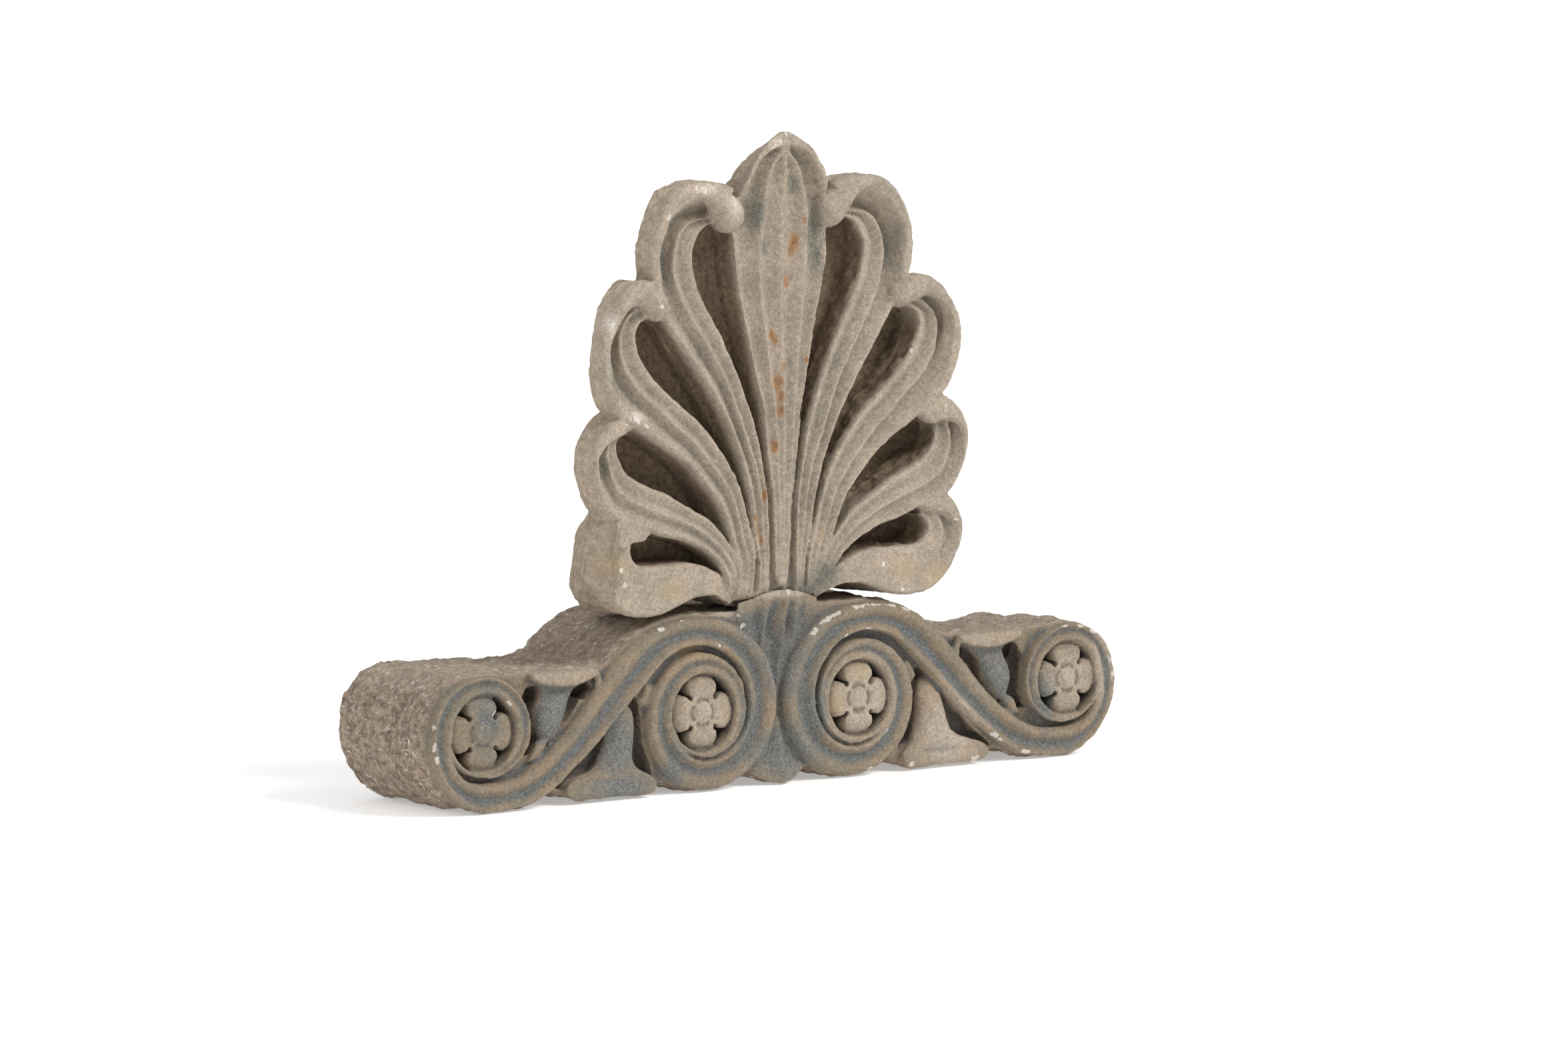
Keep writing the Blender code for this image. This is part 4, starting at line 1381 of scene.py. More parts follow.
@dataclass
class Palmette:
    """The upright fan of nine lobes."""

    node: str = "palmette"
    top_height: float = 686.0
    back_at_foot: float = 108.0
    back_at_top: float = 45.0
    back_taper: float = 0.85
    core_depth: float = 31.0
    core_levels: tuple[float, ...] = (0.0, 0.3, 0.6, 0.92, 1.0)     # from face to back
    face_inset: float = 0.6
    back_inset: float = 3.0
    rib_root: float = 46.0
    side_root: float = 34.0
    flute_gain: float = 1.2
    roll_rise: float = 4.0              # the roll on a rib's inner edge
    shoulder: float = 600.0             # above this the tip leans back from its face
    tip_lean: Span = (0.16, 0.14)       # of the core's face, and what the back adds
    tip_taper: float = 0.006
    lobe_taper: float = 0.003
    pocket_mouth: float = 10.0
    pocket_depths: tuple[float, ...] = (42.0, 52.0, 56.0, 56.0)
    foot_depth: float = 9.0             # the foot stands behind the lip of the calyx
    half_outline: Table = (
        (54, 188), (62, 193), (70, 198), (80, 203), (92, 205), (105, 204), (120, 200),
        (136, 194), (155, 189), (172, 187), (188, 188.5), (201, 193), (213, 201), (223, 211),
        (230, 222), (235, 238), (238, 256), (236, 270), (230, 282), (220, 293), (228, 303),
        (237, 318), (243, 333), (246, 352), (243, 368), (235, 382), (222, 394), (210, 400),
        (219, 408), (229, 426), (235, 449), (235, 471), (228, 491), (214, 512), (197, 524),
        (182, 528.5), (170, 529), (172, 543), (172, 558), (168, 582), (158, 606), (143, 625),
        (122, 634), (98, 637), (79, 635), (66, 629), (60, 617), (56, 631), (50.5, 643),
        (42.5, 657), (32, 669.5), (21.5, 677.5), (10, 683.5), (0, 686))
    corners: tuple[int, ...] = (19, 27, 36, 45, 46)     # outline points between two lobes
    # Each rib, by its inner edge, its ridge and its outer edge.
    ribs: tuple[Table, ...] = (
        ((17, 200, 23.5, 200, 30, 199), (17, 240, 24, 238, 31, 236),
         (17.5, 275, 27, 272, 38, 268), (19, 305, 30, 303, 42.5, 300),
         (24, 338, 36, 332, 49, 326), (30, 366, 45, 356, 56, 347),
         (37.8, 392, 56.5, 385, 70.5, 380), (56.4, 437.5, 74, 427, 92.5, 416),
         (77, 479, 97, 465, 117.4, 450.6), (97, 514, 120, 502, 146, 488),
         (103.5, 530, 131, 524, 161.5, 512), (108.5, 547, 137, 545, 168, 540),
         (110, 562, 137.5, 562, 170, 562), (105.5, 576, 132, 580, 163, 588),
         (98, 587, 121.5, 593, 145, 614), (88, 592, 106, 598, 112, 631),
         (78, 593, 90, 600, 86, 634)),
        ((34, 197, 42, 196, 49, 194), (34, 240, 45, 238, 57, 235), (40, 268, 54, 264, 67, 262),
         (49, 300, 63, 294, 76, 287), (58, 325, 73, 315, 86, 304), (70, 346, 88, 335, 103, 323),
         (84, 364, 102, 351, 120, 341), (103, 386, 120, 370, 138, 354),
         (124, 403.5, 140, 385, 156, 365), (146, 421.5, 160, 404, 180, 379),
         (162, 436, 182, 421, 199, 393), (173, 450, 194, 435, 214, 403),
         (180, 462, 202, 447, 227, 422), (183, 472, 207, 463, 235, 448),
         (184, 480, 207, 478, 235, 474), (180, 489, 203, 489, 225, 497),
         (168, 495, 192, 499, 204, 519), (160, 497, 178, 503, 181, 527)),
        ((50, 197, 54, 194, 58, 191), (50, 224, 57, 218, 65, 212), (59, 246, 68, 239, 77, 233),
         (73, 265, 82, 255, 91, 247), (92, 285, 101, 270, 108, 257),
         (122, 302, 127, 284, 131, 266), (148, 316.5, 153, 294, 157, 272),
         (170, 325, 178, 303, 184, 282), (187, 333, 197, 311, 206, 288),
         (198, 342, 212, 322, 225, 299), (204, 353, 221, 339, 239, 322),
         (206, 360, 224, 352, 245, 342), (207, 367, 224, 363, 246, 357),
         (205, 374, 220, 373, 241, 372), (198, 380, 212, 381, 230, 387),
         (188, 383, 197, 388, 208, 399)),
        ((61, 206, 58, 199, 55, 191), (74, 225, 72, 212, 69, 198), (86, 232, 85, 219, 84, 204),
         (103, 239, 103, 223, 104, 204.5), (124, 242.5, 123, 222, 122, 199.5),
         (150, 242, 149, 219, 148, 190.5), (172, 242.5, 174, 218, 176, 188),
         (185, 245, 194, 222, 203, 194), (192, 252, 206, 233, 222, 210),
         (194, 258, 212, 246, 233, 230), (193, 264, 213, 258, 237, 250),
         (190, 269, 206, 270, 236, 270), (182, 273, 193, 280, 220, 292)))
    # Along each rib: share of its length, depth of its inner edge, ridge and outer crest,
    # and how far the two flutes between them sink.
    rib_depths: tuple[Table, ...] = (
        ((0, 11, 9.5, 10, 0.6, 0.6), (0.02, 5, 2, 2.5, 2, 2), (0.06, 4.5, 0.5, 1, 3, 3),
         (0.19, 5, -2, -1.5, 4.5, 4.5), (0.31, 5.5, -2.5, -2, 5.5, 6),
         (0.44, 7.5, -1, -2, 6, 7), (0.5, 9, 0.5, 1, 6, 8), (0.56, 12, 4, 5, 6, 7),
         (0.61, 12.5, 6, 5, 6, 7), (0.68, 13, 7.5, -1, 6, 11), (0.8, 13, 8, -2.5, 6, 13),
         (1, 14, 10, -2, 5, 11)),
        ((0, 15, 15, 17, 0.6, 0.6), (0.02, 9, 8, 10, 1, 1), (0.06, 4.5, 0.5, 1, 3, 3),
         (0.18, 5, -2.5, -2, 4.5, 4.5), (0.35, 5.5, -3, -2.5, 6, 6),
         (0.47, 7, -1.5, -2.5, 6, 7), (0.59, 9.5, 1, -2.5, 6, 8.5), (0.7, 11, 4, -2.5, 6, 10),
         (0.82, 12, 6.5, -3, 6, 12), (1, 13, 8, -2, 5, 10)),
        ((0, 19, 19, 19, 0.4, 0.4), (0.05, 12, 12, 13, 0.6, 0.6), (0.1, 6, 2, 3, 2.5, 2.5),
         (0.3, 5.5, -2, -1.5, 4.5, 4.5), (0.5, 7, -2, -1.5, 5, 5), (0.6, 10, 0, -1.5, 5, 6),
         (0.75, 14, 4, -2.5, 4, 8), (0.85, 15, 7, -3, 3, 9), (1, 15, 8, -1, 3, 7)),
        ((0, 19, 17, 18, 0.3, 0.3), (0.1, 12, 8, 11, 0.5, 0.5), (0.2, 9, 4.5, 6, 0.6, 0.6),
         (0.4, 8.5, 3, 3.5, 0.6, 0.8), (0.6, 8.5, 2.5, 2.5, 1, 1.5),
         (0.75, 8.5, 2, 0, 1.5, 3.5), (0.85, 9, 3, -2.5, 2, 5), (1, 9, 4, -2.5, 2, 5)))
    # Each hooked rim, by its inner and outer edge, its crest's depth and its undercut's share.
    rims: tuple[Table, ...] = (
        ((146, 514, 162, 510, 1, 0), (151, 537, 169, 533, -1, 0), (154, 562, 172, 556, -2, 0.1),
         (154, 584, 169, 581, -3, 0.4), (148, 604, 158, 606, -3.5, 0.8),
         (136, 616, 143, 626, -4, 1), (119, 622, 123, 635, -4, 1), (104, 621, 97, 638, -4, 1),
         (93, 615, 78, 636, -4, 1), (86, 607, 63, 630, -4, 1)),
        ((185, 402, 208, 399, 0, 0), (196, 417, 219, 408, -1.5, 0),
         (206, 434, 229, 426, -2, 0.1), (213, 454, 235, 451, -2.5, 0.2),
         (217, 472, 235, 471, -3, 0.4), (215, 486, 228, 491, -3.5, 0.8),
         (205, 498, 214, 512, -4, 1), (193, 504, 196, 525, -4, 1), (181, 503, 181, 529, -4, 1),
         (173, 499, 168, 528, -4, 1)),
        ((241, 339, 245, 340, -1, 0.3), (237, 358, 246, 356, -3, 0.8),
         (231, 367, 242, 370, -3.5, 1), (222, 372, 235, 382, -4, 1),
         (213, 371, 222, 394, -4, 1), (203, 369, 210, 400, -4, 1),
         (195, 369, 197, 398, -3.5, 1), (187, 373, 187, 392, -2, 1), (182, 379, 181, 387, 1, 1)),
        ((231, 233, 234, 234, 1, 0.3), (232, 245, 236, 245, -1.5, 0.6),
         (229, 257, 238, 258, -3, 1), (221, 267, 236, 270, -3, 1), (211, 273, 230, 282, -3, 1),
         (200, 275, 219, 293, -3, 1), (190, 276, 204, 293, -3, 1), (182, 279, 190, 292, -2, 1),
         (176, 284, 178, 290, 2, 1)))
    worn_rim: Table = (
        (241, 339, 245, 340, -1, 0.3), (237, 358, 246, 356, -3, 0.8),
        (231, 367, 242, 370, -3, 1), (222, 374, 235, 382, -3, 1), (212, 377, 222, 393, -1.5, 1),
        (200, 380, 206, 398, 0.5, 0.9), (189, 384, 192, 396, 3, 0.8),
        (180, 388, 181, 393, 7, 0.8))
    stub_depth: float = -1.5            # a broken stump of the lower left hook
    stub_dome: float = 4.0
    stub: Table = (
        (-215, 296), (-200, 297), (-185, 291), (-173, 282), (-170, 275), (-178, 269),
        (-195, 267), (-205, 262), (-216, 262))
    # Each crook on the hooks, by x, height, radius and the depth of its crest.
    crooks: tuple[Table, ...] = (
        ((154, 604, 4.5, -2.5), (139.5, 620, 6.5, -4), (121, 628, 8.2, -4.5),
         (102, 628, 10, -5), (88, 622.5, 13.5, -5.5), (78, 614.5, 17, -6.5),
         (71, 607, 19.5, -6.8), (66.5, 602, 20.5, -6.8)),
        ((222, 488, 5, -2), (210, 504, 8, -4), (195, 514, 10.5, -4), (181, 515.5, 13, -4.5),
         (169.5, 512.5, 15, -5), (159.5, 509, 16.2, -5)),
        ((241, 358, 4.5, -2), (236, 369, 6.5, -3.5), (228, 377, 9, -4), (217, 382, 12.5, -4.5),
         (206, 384, 15, -4.5), (196, 384, 14, -4), (188, 383.5, 10, -1)),
        ((233.5, 257, 5, -2), (228, 269, 8, -3), (219.5, 278, 10.5, -3.5),
         (208.5, 284, 12, -3.5), (197, 285, 10.5, -3), (187, 285.5, 7, -1)))
    # Each pocket, by its middle line and half width.
    pockets: tuple[Table, ...] = (
        ((19, 326, 2), (23, 351, 2.8), (28, 380, 4.6), (33, 400, 6.5), (43, 430, 9),
         (57, 470, 14), (70, 500, 18.5), (80, 530, 22), (85, 555, 24), (84, 568, 23)),
        ((45.5, 300, 2.6), (56, 333, 4.3), (69, 359, 7), (88, 387, 10.2), (108.5, 411, 14.6),
         (127, 430.5, 18), (146, 451, 20), (157, 467, 20.5), (160, 473, 20)),
        ((78, 280, 2.3), (88, 296, 5.6), (100, 306, 9.5), (120, 321, 15), (140, 333.5, 17),
         (160, 344.5, 19), (177, 353, 20.5), (183, 356, 20.5)),
        ((80, 232.5, 2.3), (90, 241, 5.6), (105, 247.5, 7.2), (115, 251.5, 8.7),
         (134, 254, 11.2), (150, 256, 13), (168, 258, 15), (178, 259, 15)))
    # The middle lobe: height, half width, depths of its spine, place and depth of its flank
    # ridges, depth of its edge, and the width and height of the rim along the edge.
    middle_lobe: Table = (
        (191, 12, 13, 6, 13, 15, 0.6, 0), (203, 9, 10.5, 4.5, 10.5, 12, 0.6, 0),
        (212, 5.5, 1.5, 2.7, 1.5, 3, 0.6, 0), (225, 9, 0, 4.5, 0, 2.5, 0.6, 0),
        (240, 10, -0.5, 5, -0.8, 2, 0.6, 0), (260, 11, -1, 5.5, -1.3, 1.5, 0.6, 0),
        (300, 12.5, -1.5, 6.5, -2, 1.5, 0.6, 0), (335, 18, -1.8, 9, -2.5, 1, 0.6, 0),
        (370, 22, -1.8, 11, -3, 1, 0.6, 0), (400, 25.5, -1.2, 13, -3, 1.5, 0.6, 0),
        (430, 33, 0, 17, -2, 3, 0.8, 0), (470, 42, 2, 21, 0, 5, 0.8, 0),
        (500, 49, 3.5, 25, 1.5, 6, 0.8, 0), (530, 56, 4, 28, 2, 5.5, 1, 0),
        (560, 60, 3.7, 29.5, 1, 5, 1.2, 0), (585, 61, 2.8, 29.5, -0.5, 8, 2, 0),
        (600, 60, 2.4, 29.5, -1.5, 10, 3, 0), (612, 58.5, 1.2, 27.5, -2, 8, 5, 1),
        (622, 57, -0.5, 25, -2.4, 1, 8, 5), (632, 55, -2, 23, -2.6, -5, 9.5, 11),
        (643, 50.5, -3, 20, -3, -7, 10, 12), (652, 45.5, -3.2, 16, -3.2, -7, 10.5, 12),
        (659, 41, -3.3, 10, -3.4, -7, 12, 11), (664, 37.3, -3.4, 6, -3.6, -7, 14, 9),
        (668, 33.8, -3.6, 4, -4, -7, 17.5, 6), (671, 30.8, -4.5, 4, -4.8, -7, 22, 3),
        (674, 27.2, -6.5, 3, -6.5, -6.6, 20, 0.5), (678, 21.5, -6, 3, -6, -6, 13, 0),
        (682, 14.5, -4.8, 2, -4.8, -5, 8, 0), (685.5, 8, -3.5, 1, -3.5, -3.5, 3, 0),
        (689, 2, -1.5, 0.7, -1.5, -1, 0.5, 0))
    heel: Table = (
        (-28, 189), (-34, 204), (-50, 216), (-54, 230), (-42, 250), (-30, 276), (-20, 318),
        (20, 318), (30, 276), (42, 250), (54, 230), (50, 216), (34, 204), (28, 189))
    # Where the left side departs from the right: place, reach, shift, and depths.
    pushes: Table = (
        ((-186, 526), (52, 52), (0, 0, 11), (-1000, -999)),
        ((-128, 636), (46, 30), (0, 0, 3), (-1000, -999)),
        ((-236, 462), (50, 66), (11, 0, 0), (14, 34)),
        ((-186, 212), (70, 46), (-11, 0, -5), (44, 80)))
    break_height: float = 291.0         # the lower left lobe has lost its edge below this
    break_side: float = -216.0
    break_slope: float = 0.62
    break_start: float = 4.0
    break_fade: Span = (30.0, 14.0)     # how far it lets go, over how much height
    break_grain: Table = ((13.0, 2.2), (5.0, 1.2))
    break_reach: float = -150.0
    # Grain and height of each layer of roughness.
    pecking: Table = ((22.0, 1.8), (9.0, 1.2), (4.5, 0.6))
    pocket_pecking: Table = ((12.0, 2.4), (5.5, 1.4))
    left_pecking: float = 0.25          # share of it in the smoother pockets on the left
    dressing: Table = ((18.0, 0.5), (7.0, 0.5), (3.5, 0.4))
    middle: Span = (-20.0, 20.0)
    # Depths, distances and turns of the surface between which the looks change.
    back_turn: Span = (0.15, 0.5)
    side_turn: Span = (-0.75, -0.1)
    pecked_depths: Span = (5.0, 17.0)
    pecked_gap: Span = (3.0, 7.0)
    pocket_gaps: Span = (2.0, 6.0)
    sunk_depths: Span = (7.0, 20.0)
    # Flakes, by x, height, radius and depth.
    chips: Table = (
        (-104, 629, 4, 0.9), (-116, 632, 3.5, 0.9), (-222, 498, 4, 0.9), (-190, 398, 7, 1.4),
        (-202, 396, 5.5, 1.2), (-178, 389, 3.9, 0.8), (135, 462, 4.7, 1.2),
        (174, 448, 3.1, 0.8), (204, 440, 3.9, 1.0), (212, 388, 3.9, 0.8), (207, 277, 3.1, 0.8),
        (226, 266, 3.1, 0.8), (160, 195, 3.9, 0.8), (134, 224, 3.1, 0.7), (-18, 671, 4.7, 1.2),
        (-8, 677, 5.5, 1.2), (3, 682, 4.7, 1.0), (-160, 512, 3.9, 0.8), (235, 486, 4.7, 1.0),
        (-202, 225, 3.9, 0.8), (-208, 240, 3.9, 0.8), (-150, 604, 3.9, 0.8),
        (-214, 262, 3.9, 0.8))
    # Painted spots, by x, height, half width and half height.
    pale_places: Table = (
        (-66, 614, 7, 13), (-104, 631, 16, 5), (-224, 500, 6, 16), (-14, 675, 9, 5),
        (-190, 399, 14, 6))
    lichen: Table = (
        (19, 570, 4, 8), (15, 561, 3, 6), (9, 528, 3, 6), (-12, 474, 5, 5), (-7, 468, 3, 4),
        (2, 441, 3, 4), (-7, 424, 6, 6), (-2, 410, 4, 6), (-4, 394, 5, 5), (-12, 358, 4, 6),
        (-24, 306, 3, 6), (-36, 285, 2.5, 5), (-33, 272, 2.5, 6), (-29, 259, 2.5, 5),
        (27, 592, 2, 3.5), (34, 446, 2, 3))
    blue_stains: Table = (
        (58, 214, 18, 15), (36, 203, 26, 12), (44, 582, 10, 24), (14, 630, 8, 10),
        (-34, 604, 8, 18), (-22, 566, 6, 8), (-145, 560, 6, 30), (-140, 596, 10, 8),
        (-216, 452, 6, 26), (-228, 345, 6, 12), (152, 556, 5, 22), (48, 555, 6, 14))
    ochre_stains: Table = (
        (205, 207, 20, 12), (160, 217, 16, 10), (52, 262, 4, 6), (-140, 215, 18, 10),
        (-215, 245, 16, 12), (-240, 398, 16, 8))

    def outline(self) -> np.ndarray:
        """The whole outline, rounded between the corners where two lobes meet.

        Returns:
            The closed outline.
        """
        foot = BED_HEIGHT + JOINT_GAP
        stops = (0, *self.corners, len(self.half_outline) - 1)
        lobes = [smooth(self.half_outline[start:end + 1], steps=4)[:-1]
                 for start, end in zip(stops, stops[1:])]
        half = np.vstack(lobes)
        half[:, 1] = np.maximum(half[:, 1], foot)
        return np.vstack((half, [(0.0, self.top_height)], half[::-1] * (-1.0, 1.0)))

    def core(self) -> Form:
        """Tapering core with its pockets cut out.

        Returns:
            The form.
        """
        outline = self.outline()
        normals = outline_normals(outline)
        foot = BED_HEIGHT + JOINT_GAP
        slope = (self.back_at_top - self.back_at_foot) / (self.top_height - foot)
        rings = []
        for share in self.core_levels:
            inset = {0.0: self.face_inset, 1.0: self.back_inset}.get(share, 0.0)
            ring = []
            for (x, z), (nx, nz) in zip(outline, normals):
                back = self.back_at_foot + slope * (z - foot)
                taper = 1.0 - (1.0 - self.back_taper) * share
                fall = max(0.0, z - self.shoulder) * (self.tip_lean[0] + self.tip_lean[1] * share)
                taper -= self.tip_taper * fall
                ring.append(at((x - nx * inset) * taper, max(z - fall - nz * inset, foot),
                               self.core_depth + (back - self.core_depth) * share))
            rings.append(ring)
        mouth = self.core_depth - self.pocket_mouth
        pockets = [slab(self.pocket_outline(rows), mouth, depth)
                   for rows, depth in zip(self.pockets, self.pocket_depths)]
        return cut(loft(np.array(rings)), pockets + [pocket.mirrored() for pocket in pockets])

    def pocket_outline(self, rows: Table) -> np.ndarray:
        """Drop-shaped outline round a middle line, with a round outer end.

        Args:
            rows: Rows of x, height and half width.

        Returns:
            The closed outline.
        """
        line = smooth(rows, steps=6)
        along = np.gradient(line[:, :2], axis=0)
        along /= np.linalg.norm(along, axis=1, keepdims=True)
        side = np.stack((-along[:, 1], along[:, 0]), axis=1) * line[:, 2:]
        heading = math.degrees(math.atan2(along[-1, 1], along[-1, 0]))
        end = [polar(line[-1], heading + angle, line[-1, 2]) for angle in range(-75, 76, 15)]
        return np.vstack((line[:, :2] - side, end, (line[:, :2] + side)[::-1]))

    def rib(self, rows: Table, depths: Table) -> Form:
        """Rib with a flute on each side of its ridge.

        Args:
            rows: Rows of the rib's inner edge, ridge and outer edge.
            depths: Rows as in rib_depths.

        Returns:
            The form.
        """
        lines = smooth(rows, steps=6)
        table = np.array(depths, float)
        shares = np.linspace(0.0, 1.0, len(lines))
        levels = np.array([np.interp(shares, table[:, 0], column) for column in table.T[1:]]).T
        rings = []
        for row, (edge, ridge, crest, first, second) in zip(lines, levels):
            first, second = self.flute_gain * first, self.flute_gain * second
            inner, middle, outer = row[:2], row[2:4], row[4:]
            roll = edge - self.roll_rise
            section = smooth((
                (0.0, edge + 1.0), (0.07, roll + 0.9), (0.2, roll), (0.36, roll + 0.25 * first),
                (0.6, 0.4 * roll + 0.6 * ridge + first), (0.82, ridge + 0.35 * first),
                (0.94, ridge), (1.04, ridge + 0.15 * second), (1.15, ridge + 0.75 * second),
                (1.33, 0.6 * ridge + 0.4 * crest + 1.05 * second),
                (1.58, crest + 0.5 * second), (1.76, crest), (1.9, crest + 1.0),
                (2.0, crest + 5.0)), steps=3)
            ring = [at(*inner, self.rib_root)]
            for along, depth in section:
                x, z = (inner + (middle - inner) * along if along <= 1.0
                        else middle + (outer - middle) * (along - 1.0))
                ring.append(at(x, z, depth))
            rings.append(ring + [at(*outer, self.side_root)])
        return loft(np.array(rings))

    def rim(self, rows: Table) -> Form:
        """Hooked rim whose inner side turns from a slope into an undercut.

        Args:
            rows: Rows as in rims.

        Returns:
            The form.
        """
        rings = []
        for *places, crest, under in smooth(rows, steps=6):
            inner, outer = np.array(places[:2]), np.array(places[2:])
            slope = ((0, 14), (0.06, 12.5), (0.25, 7), (0.48, crest + 0.6), (0.62, crest),
                     (0.86, crest + 1.6), (1, crest + 6))
            hook = ((0, 22), (0, crest + 6), (0.12, crest + 1.8), (0.35, crest), (0.65, crest),
                    (0.88, crest + 1.8), (1, crest + 6))
            under = min(1.0, max(0.0, under))
            section = np.array(slope) * (1.0 - under) + np.array(hook) * under
            ring = [at(*inner, self.side_root)]
            ring += [at(*(inner + (outer - inner) * along), depth) for along, depth in section]
            rings.append(ring + [at(*outer, self.side_root)])
        return loft(np.array(rings))

    def lobe(self) -> Form:
        """The middle lobe, with a spine, two flank ridges and a raised rim at its tip.

        Returns:
            The form.
        """
        rings = []
        for z, half, spine, flank_x, flank, edge, rim, rise in smooth(self.middle_lobe, steps=5):
            half, rim = max(half, 1.0), max(rim, 0.3)
            inner = half - rim
            flank_x = min(flank_x, inner * 0.8)
            first, second = (min(3.4 + half * share, 0.34 * span) for share, span in
                             ((0.06, flank_x), (0.075, inner - flank_x)))
            crests = np.array([
                (0.0, spine), (0.26 * flank_x, spine * 0.7 + flank * 0.3 + 0.75 * first),
                (0.58 * flank_x, spine * 0.4 + flank * 0.6 + first), (flank_x, flank),
                (flank_x * 0.72 + inner * 0.28, flank * 0.7 + (edge + rise) * 0.3 + 0.8 * second),
                (flank_x * 0.4 + inner * 0.6, flank * 0.4 + (edge + rise) * 0.6 + second),
                (inner, edge + rise), (inner + 0.16 * rim, edge + 0.3 * rise),
                (inner + 0.4 * rim, edge + 0.2), (half - 0.1 * rim, edge), (half, edge + 1.5)])
            section = smooth(np.vstack((crests[:0:-1] * (-1.0, 1.0), crests)), steps=4)
            ring = [at(x, z, depth) for x, depth in section]
            fall = max(0.0, z - self.shoulder)
            root = (half * (1.0 - self.lobe_taper * fall), z - self.tip_lean[0] * fall,
                    self.side_root - 1.0)
            rings.append(ring + [at(*root), at(-root[0], *root[1:])])
        return loft(np.array(rings))

    def forms(self) -> list[Form]:
        """Every form of the stone.

        Returns:
            The core first, then what is carved on it.
        """
        pairs = [self.rib(rows, depths) for rows, depths in zip(self.ribs, self.rib_depths)]
        pairs += [self.rim(rows) for rows in self.rims[:2]]
        pairs += [bar(rows) for rows in self.crooks[:2]]
        pairs += [form.mirrored() for form in pairs]
        right = [self.rim(rows) for rows in self.rims[2:]]
        right += [bar(rows) for rows in self.crooks[2:]]
        left = [self.rim(self.worn_rim).mirrored(),
                pillow(self.stub, self.stub_depth, self.rib_root, self.stub_dome)]
        heel = slab(self.heel, self.foot_depth + 1.0, self.rib_root)
        return [self.core(), self.lobe(), heel, *pairs, *right, *left]

    def break_edge(self, skin: Skin) -> None:
        """Take the lost edge off the lower left lobe.

        Args:
            skin: The skin, still smooth.
        """
        x, z, depth = skin.points[:, 0], skin.points[:, 2], skin.depth
        limit = self.break_side - self.break_slope * np.maximum(depth - self.break_start, 0.0)
        for grain, height in self.break_grain:
            limit += height * skin.noise(skin.points * (0.0, 1.0, 1.0), grain)
        release, fade = self.break_fade
        limit -= release * eased(z, self.break_height, self.break_height + fade)
        skin.points[:, 0] = np.where(x < self.break_reach, np.maximum(x, limit), x)

    def pocket_gap(self, skin: Skin) -> np.ndarray:
        """Distance of each point from the nearest pocket's side in the front view.

        Args:
            skin: The skin.

        Returns:
            The distances.
        """
        side, z = np.abs(skin.points[:, 0]), skin.points[:, 2]
        gap = np.full(len(side), np.inf)
        for rows in self.pockets:
            for place_x, place_z, width in smooth(rows, steps=4):
                gap = np.minimum(gap, np.hypot(side - place_x, z - place_z) - width)
        return gap

    def weather(self, skin: Skin) -> None:
        """Roughen, chip and mark the skin.

        Args:
            skin: The skin, still smooth.
        """
        for push in self.pushes:
            skin.push(*push)
        self.break_edge(skin)
        skin.relax(rounds=2)
        facing, depth, gap = skin.normals()[:, 1], skin.depth, self.pocket_gap(skin)
        behind = eased(facing, *self.back_turn)
        # Pocket insides get rougher pecking and the dark pocket colour: dirt and painted shade.
        pocket = (1.0 - eased(gap, *self.pocket_gaps)) * eased(depth, *self.sunk_depths)
        pocket = skin.spread(pocket * (1.0 - behind), rounds=3)
        pecked = eased(depth, *self.pecked_depths) * eased(facing, *self.side_turn)
        pecked *= np.maximum(eased(gap, *self.pecked_gap), behind)
        pecked = skin.spread(pecked, rounds=4)
        skin.mark_relief(rounds=60)
        skin.marks["pocket"], skin.marks["pecked"] = pocket, pecked
        right = eased(skin.points[:, 0], *self.middle)
        skin.roughen(pecked, self.pecking)
        skin.roughen(pocket * (self.left_pecking + (1.0 - self.left_pecking) * right),
                     self.pocket_pecking)
        skin.roughen(1.0 - np.maximum(pecked, pocket), self.dressing)
        skin.chip(self.chips)
        skin.spots("pale", self.pale_places)
        skin.spots("lichen", self.lichen)
        skin.spots("blue_stain", self.blue_stains)
        skin.spots("ochre_stain", self.ochre_stains)

    def build(self) -> bpy.types.Object:
        """Carve, weather and dress the stone.

        Returns:
            The finished piece.
        """
        skin = Skin("carved_palmette", self.forms(), seed=11)
        self.weather(skin)
        low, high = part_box(self.node)
        item = skin.finished((Vector((low.x, CAD_BOX[0][1], low.z)), high))
        item.data.materials.append(Finish.BUFF.value.material())
        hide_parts(self.node)
        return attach(item, "root")


# --- studio ------------------------------------------------------------------------

@dataclass(frozen=True)
class Lamp:
    """One broad, distant lamp."""

    name: str
    towards: tuple[float, float, float]     # from the object to the lamp
    breadth: float                          # degrees
    strength: float


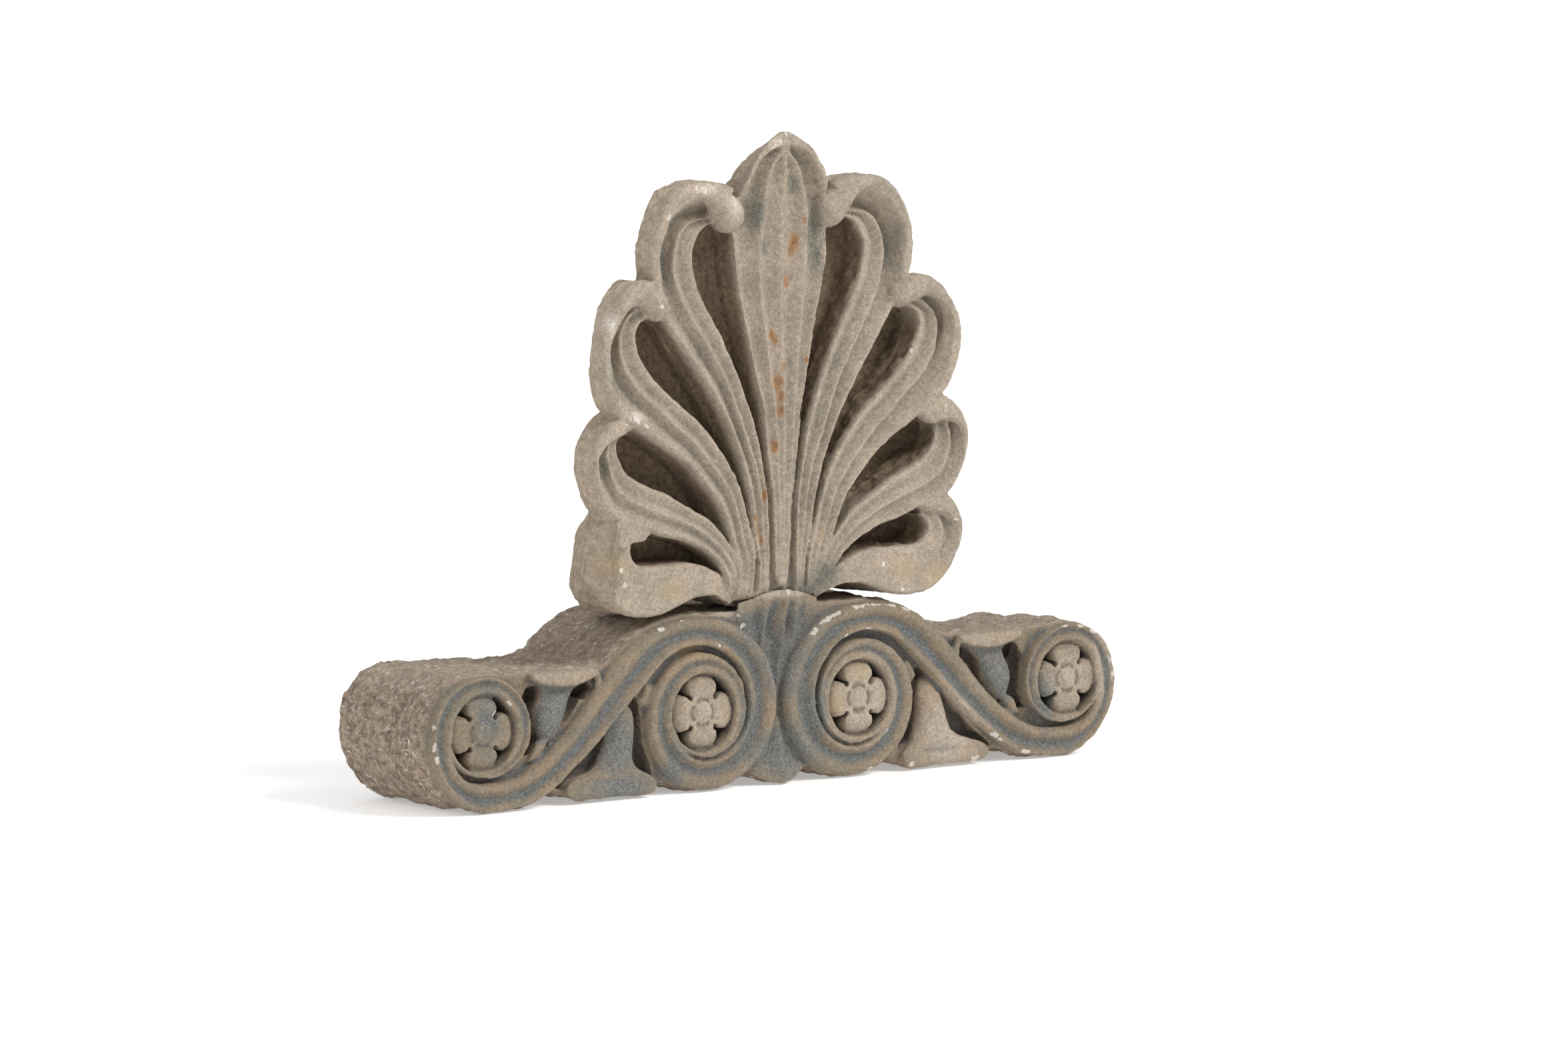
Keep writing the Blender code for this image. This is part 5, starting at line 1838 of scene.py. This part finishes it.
@dataclass
class Studio:
    """Pale floor, soft lamps and the camera."""

    azimuth: float = -37.0
    elevation: float = 6.2
    eye: tuple[float, float, float] = (-5.98033, FACE_Y * MM - 7.9357, 1.35643)
    lens: float = 219.6
    floor_size: float = 120.0
    lamps: tuple[Lamp, ...] = (Lamp("key", (0.55, -0.8, 0.85), 26.0, 2.3),
                               Lamp("side", (-0.9, -0.3, 0.5), 50.0, 0.8),
                               Lamp("top", (-0.1, -0.2, 1.0), 80.0, 0.5))
    sky: Colour = tint(1.0, 1.0, 1.0)
    sky_strength: float = 0.4
    floor_colour: Colour = tint(0.93, 0.93, 0.93)
    floor_roughness: float = 0.9
    floor_glow: float = 0.32            # the floor is a light table
    clip_end: float = 200.0

    def floor(self) -> None:
        """Plain pale floor."""
        half = self.floor_size / 2
        mesh = bpy.data.meshes.new("floor")
        mesh.from_pydata([(-half, -half, 0), (half, -half, 0), (half, half, 0), (-half, half, 0)],
                         [], [(0, 1, 2, 3)])
        item = bpy.data.objects.new("floor", mesh)
        bpy.context.scene.collection.objects.link(item)
        material = bpy.data.materials.new("pale_floor")
        material.use_nodes = True
        shader = material.node_tree.nodes["Principled BSDF"]
        shader.inputs["Base Color"].default_value = self.floor_colour
        shader.inputs["Roughness"].default_value = self.floor_roughness
        shader.inputs["Emission Color"].default_value = self.sky
        shader.inputs["Emission Strength"].default_value = self.floor_glow
        mesh.materials.append(material)

    def light(self) -> None:
        """Distant lamps and a pale sky."""
        for lamp in self.lamps:
            data = bpy.data.lights.new(lamp.name, "SUN")
            data.angle = math.radians(lamp.breadth)
            data.energy = lamp.strength
            item = bpy.data.objects.new(lamp.name, data)
            item.rotation_euler = Vector(lamp.towards).to_track_quat("Z", "Y").to_euler()
            bpy.context.scene.collection.objects.link(item)
        world = bpy.data.worlds.new("studio")
        world.use_nodes = True
        background = world.node_tree.nodes["Background"]
        background.inputs["Color"].default_value = self.sky
        background.inputs["Strength"].default_value = self.sky_strength
        bpy.context.scene.world = world

    def camera(self) -> None:
        """Long lens, low on the left of the front."""
        data = bpy.data.cameras.new("camera")
        data.lens = self.lens
        data.clip_end = self.clip_end
        item = bpy.data.objects.new("camera", data)
        item.location = self.eye
        item.rotation_euler = (math.radians(90.0 - self.elevation), 0.0,
                               math.radians(self.azimuth))
        bpy.context.scene.collection.objects.link(item)
        bpy.context.scene.camera = item
        bpy.context.scene.view_settings.view_transform = "Standard"

    def build(self) -> None:
        """Set everything up."""
        self.floor()
        self.light()
        self.camera()


def main() -> None:
    """Build both stones and the studio, and note the sizes."""
    logging.basicConfig(level=logging.INFO, format="%(message)s")
    Studio().build()
    for piece in (ScrollBase(), Palmette()):
        LOG.info("made %s", piece.build().name)


if __name__ == "__main__":
    main()
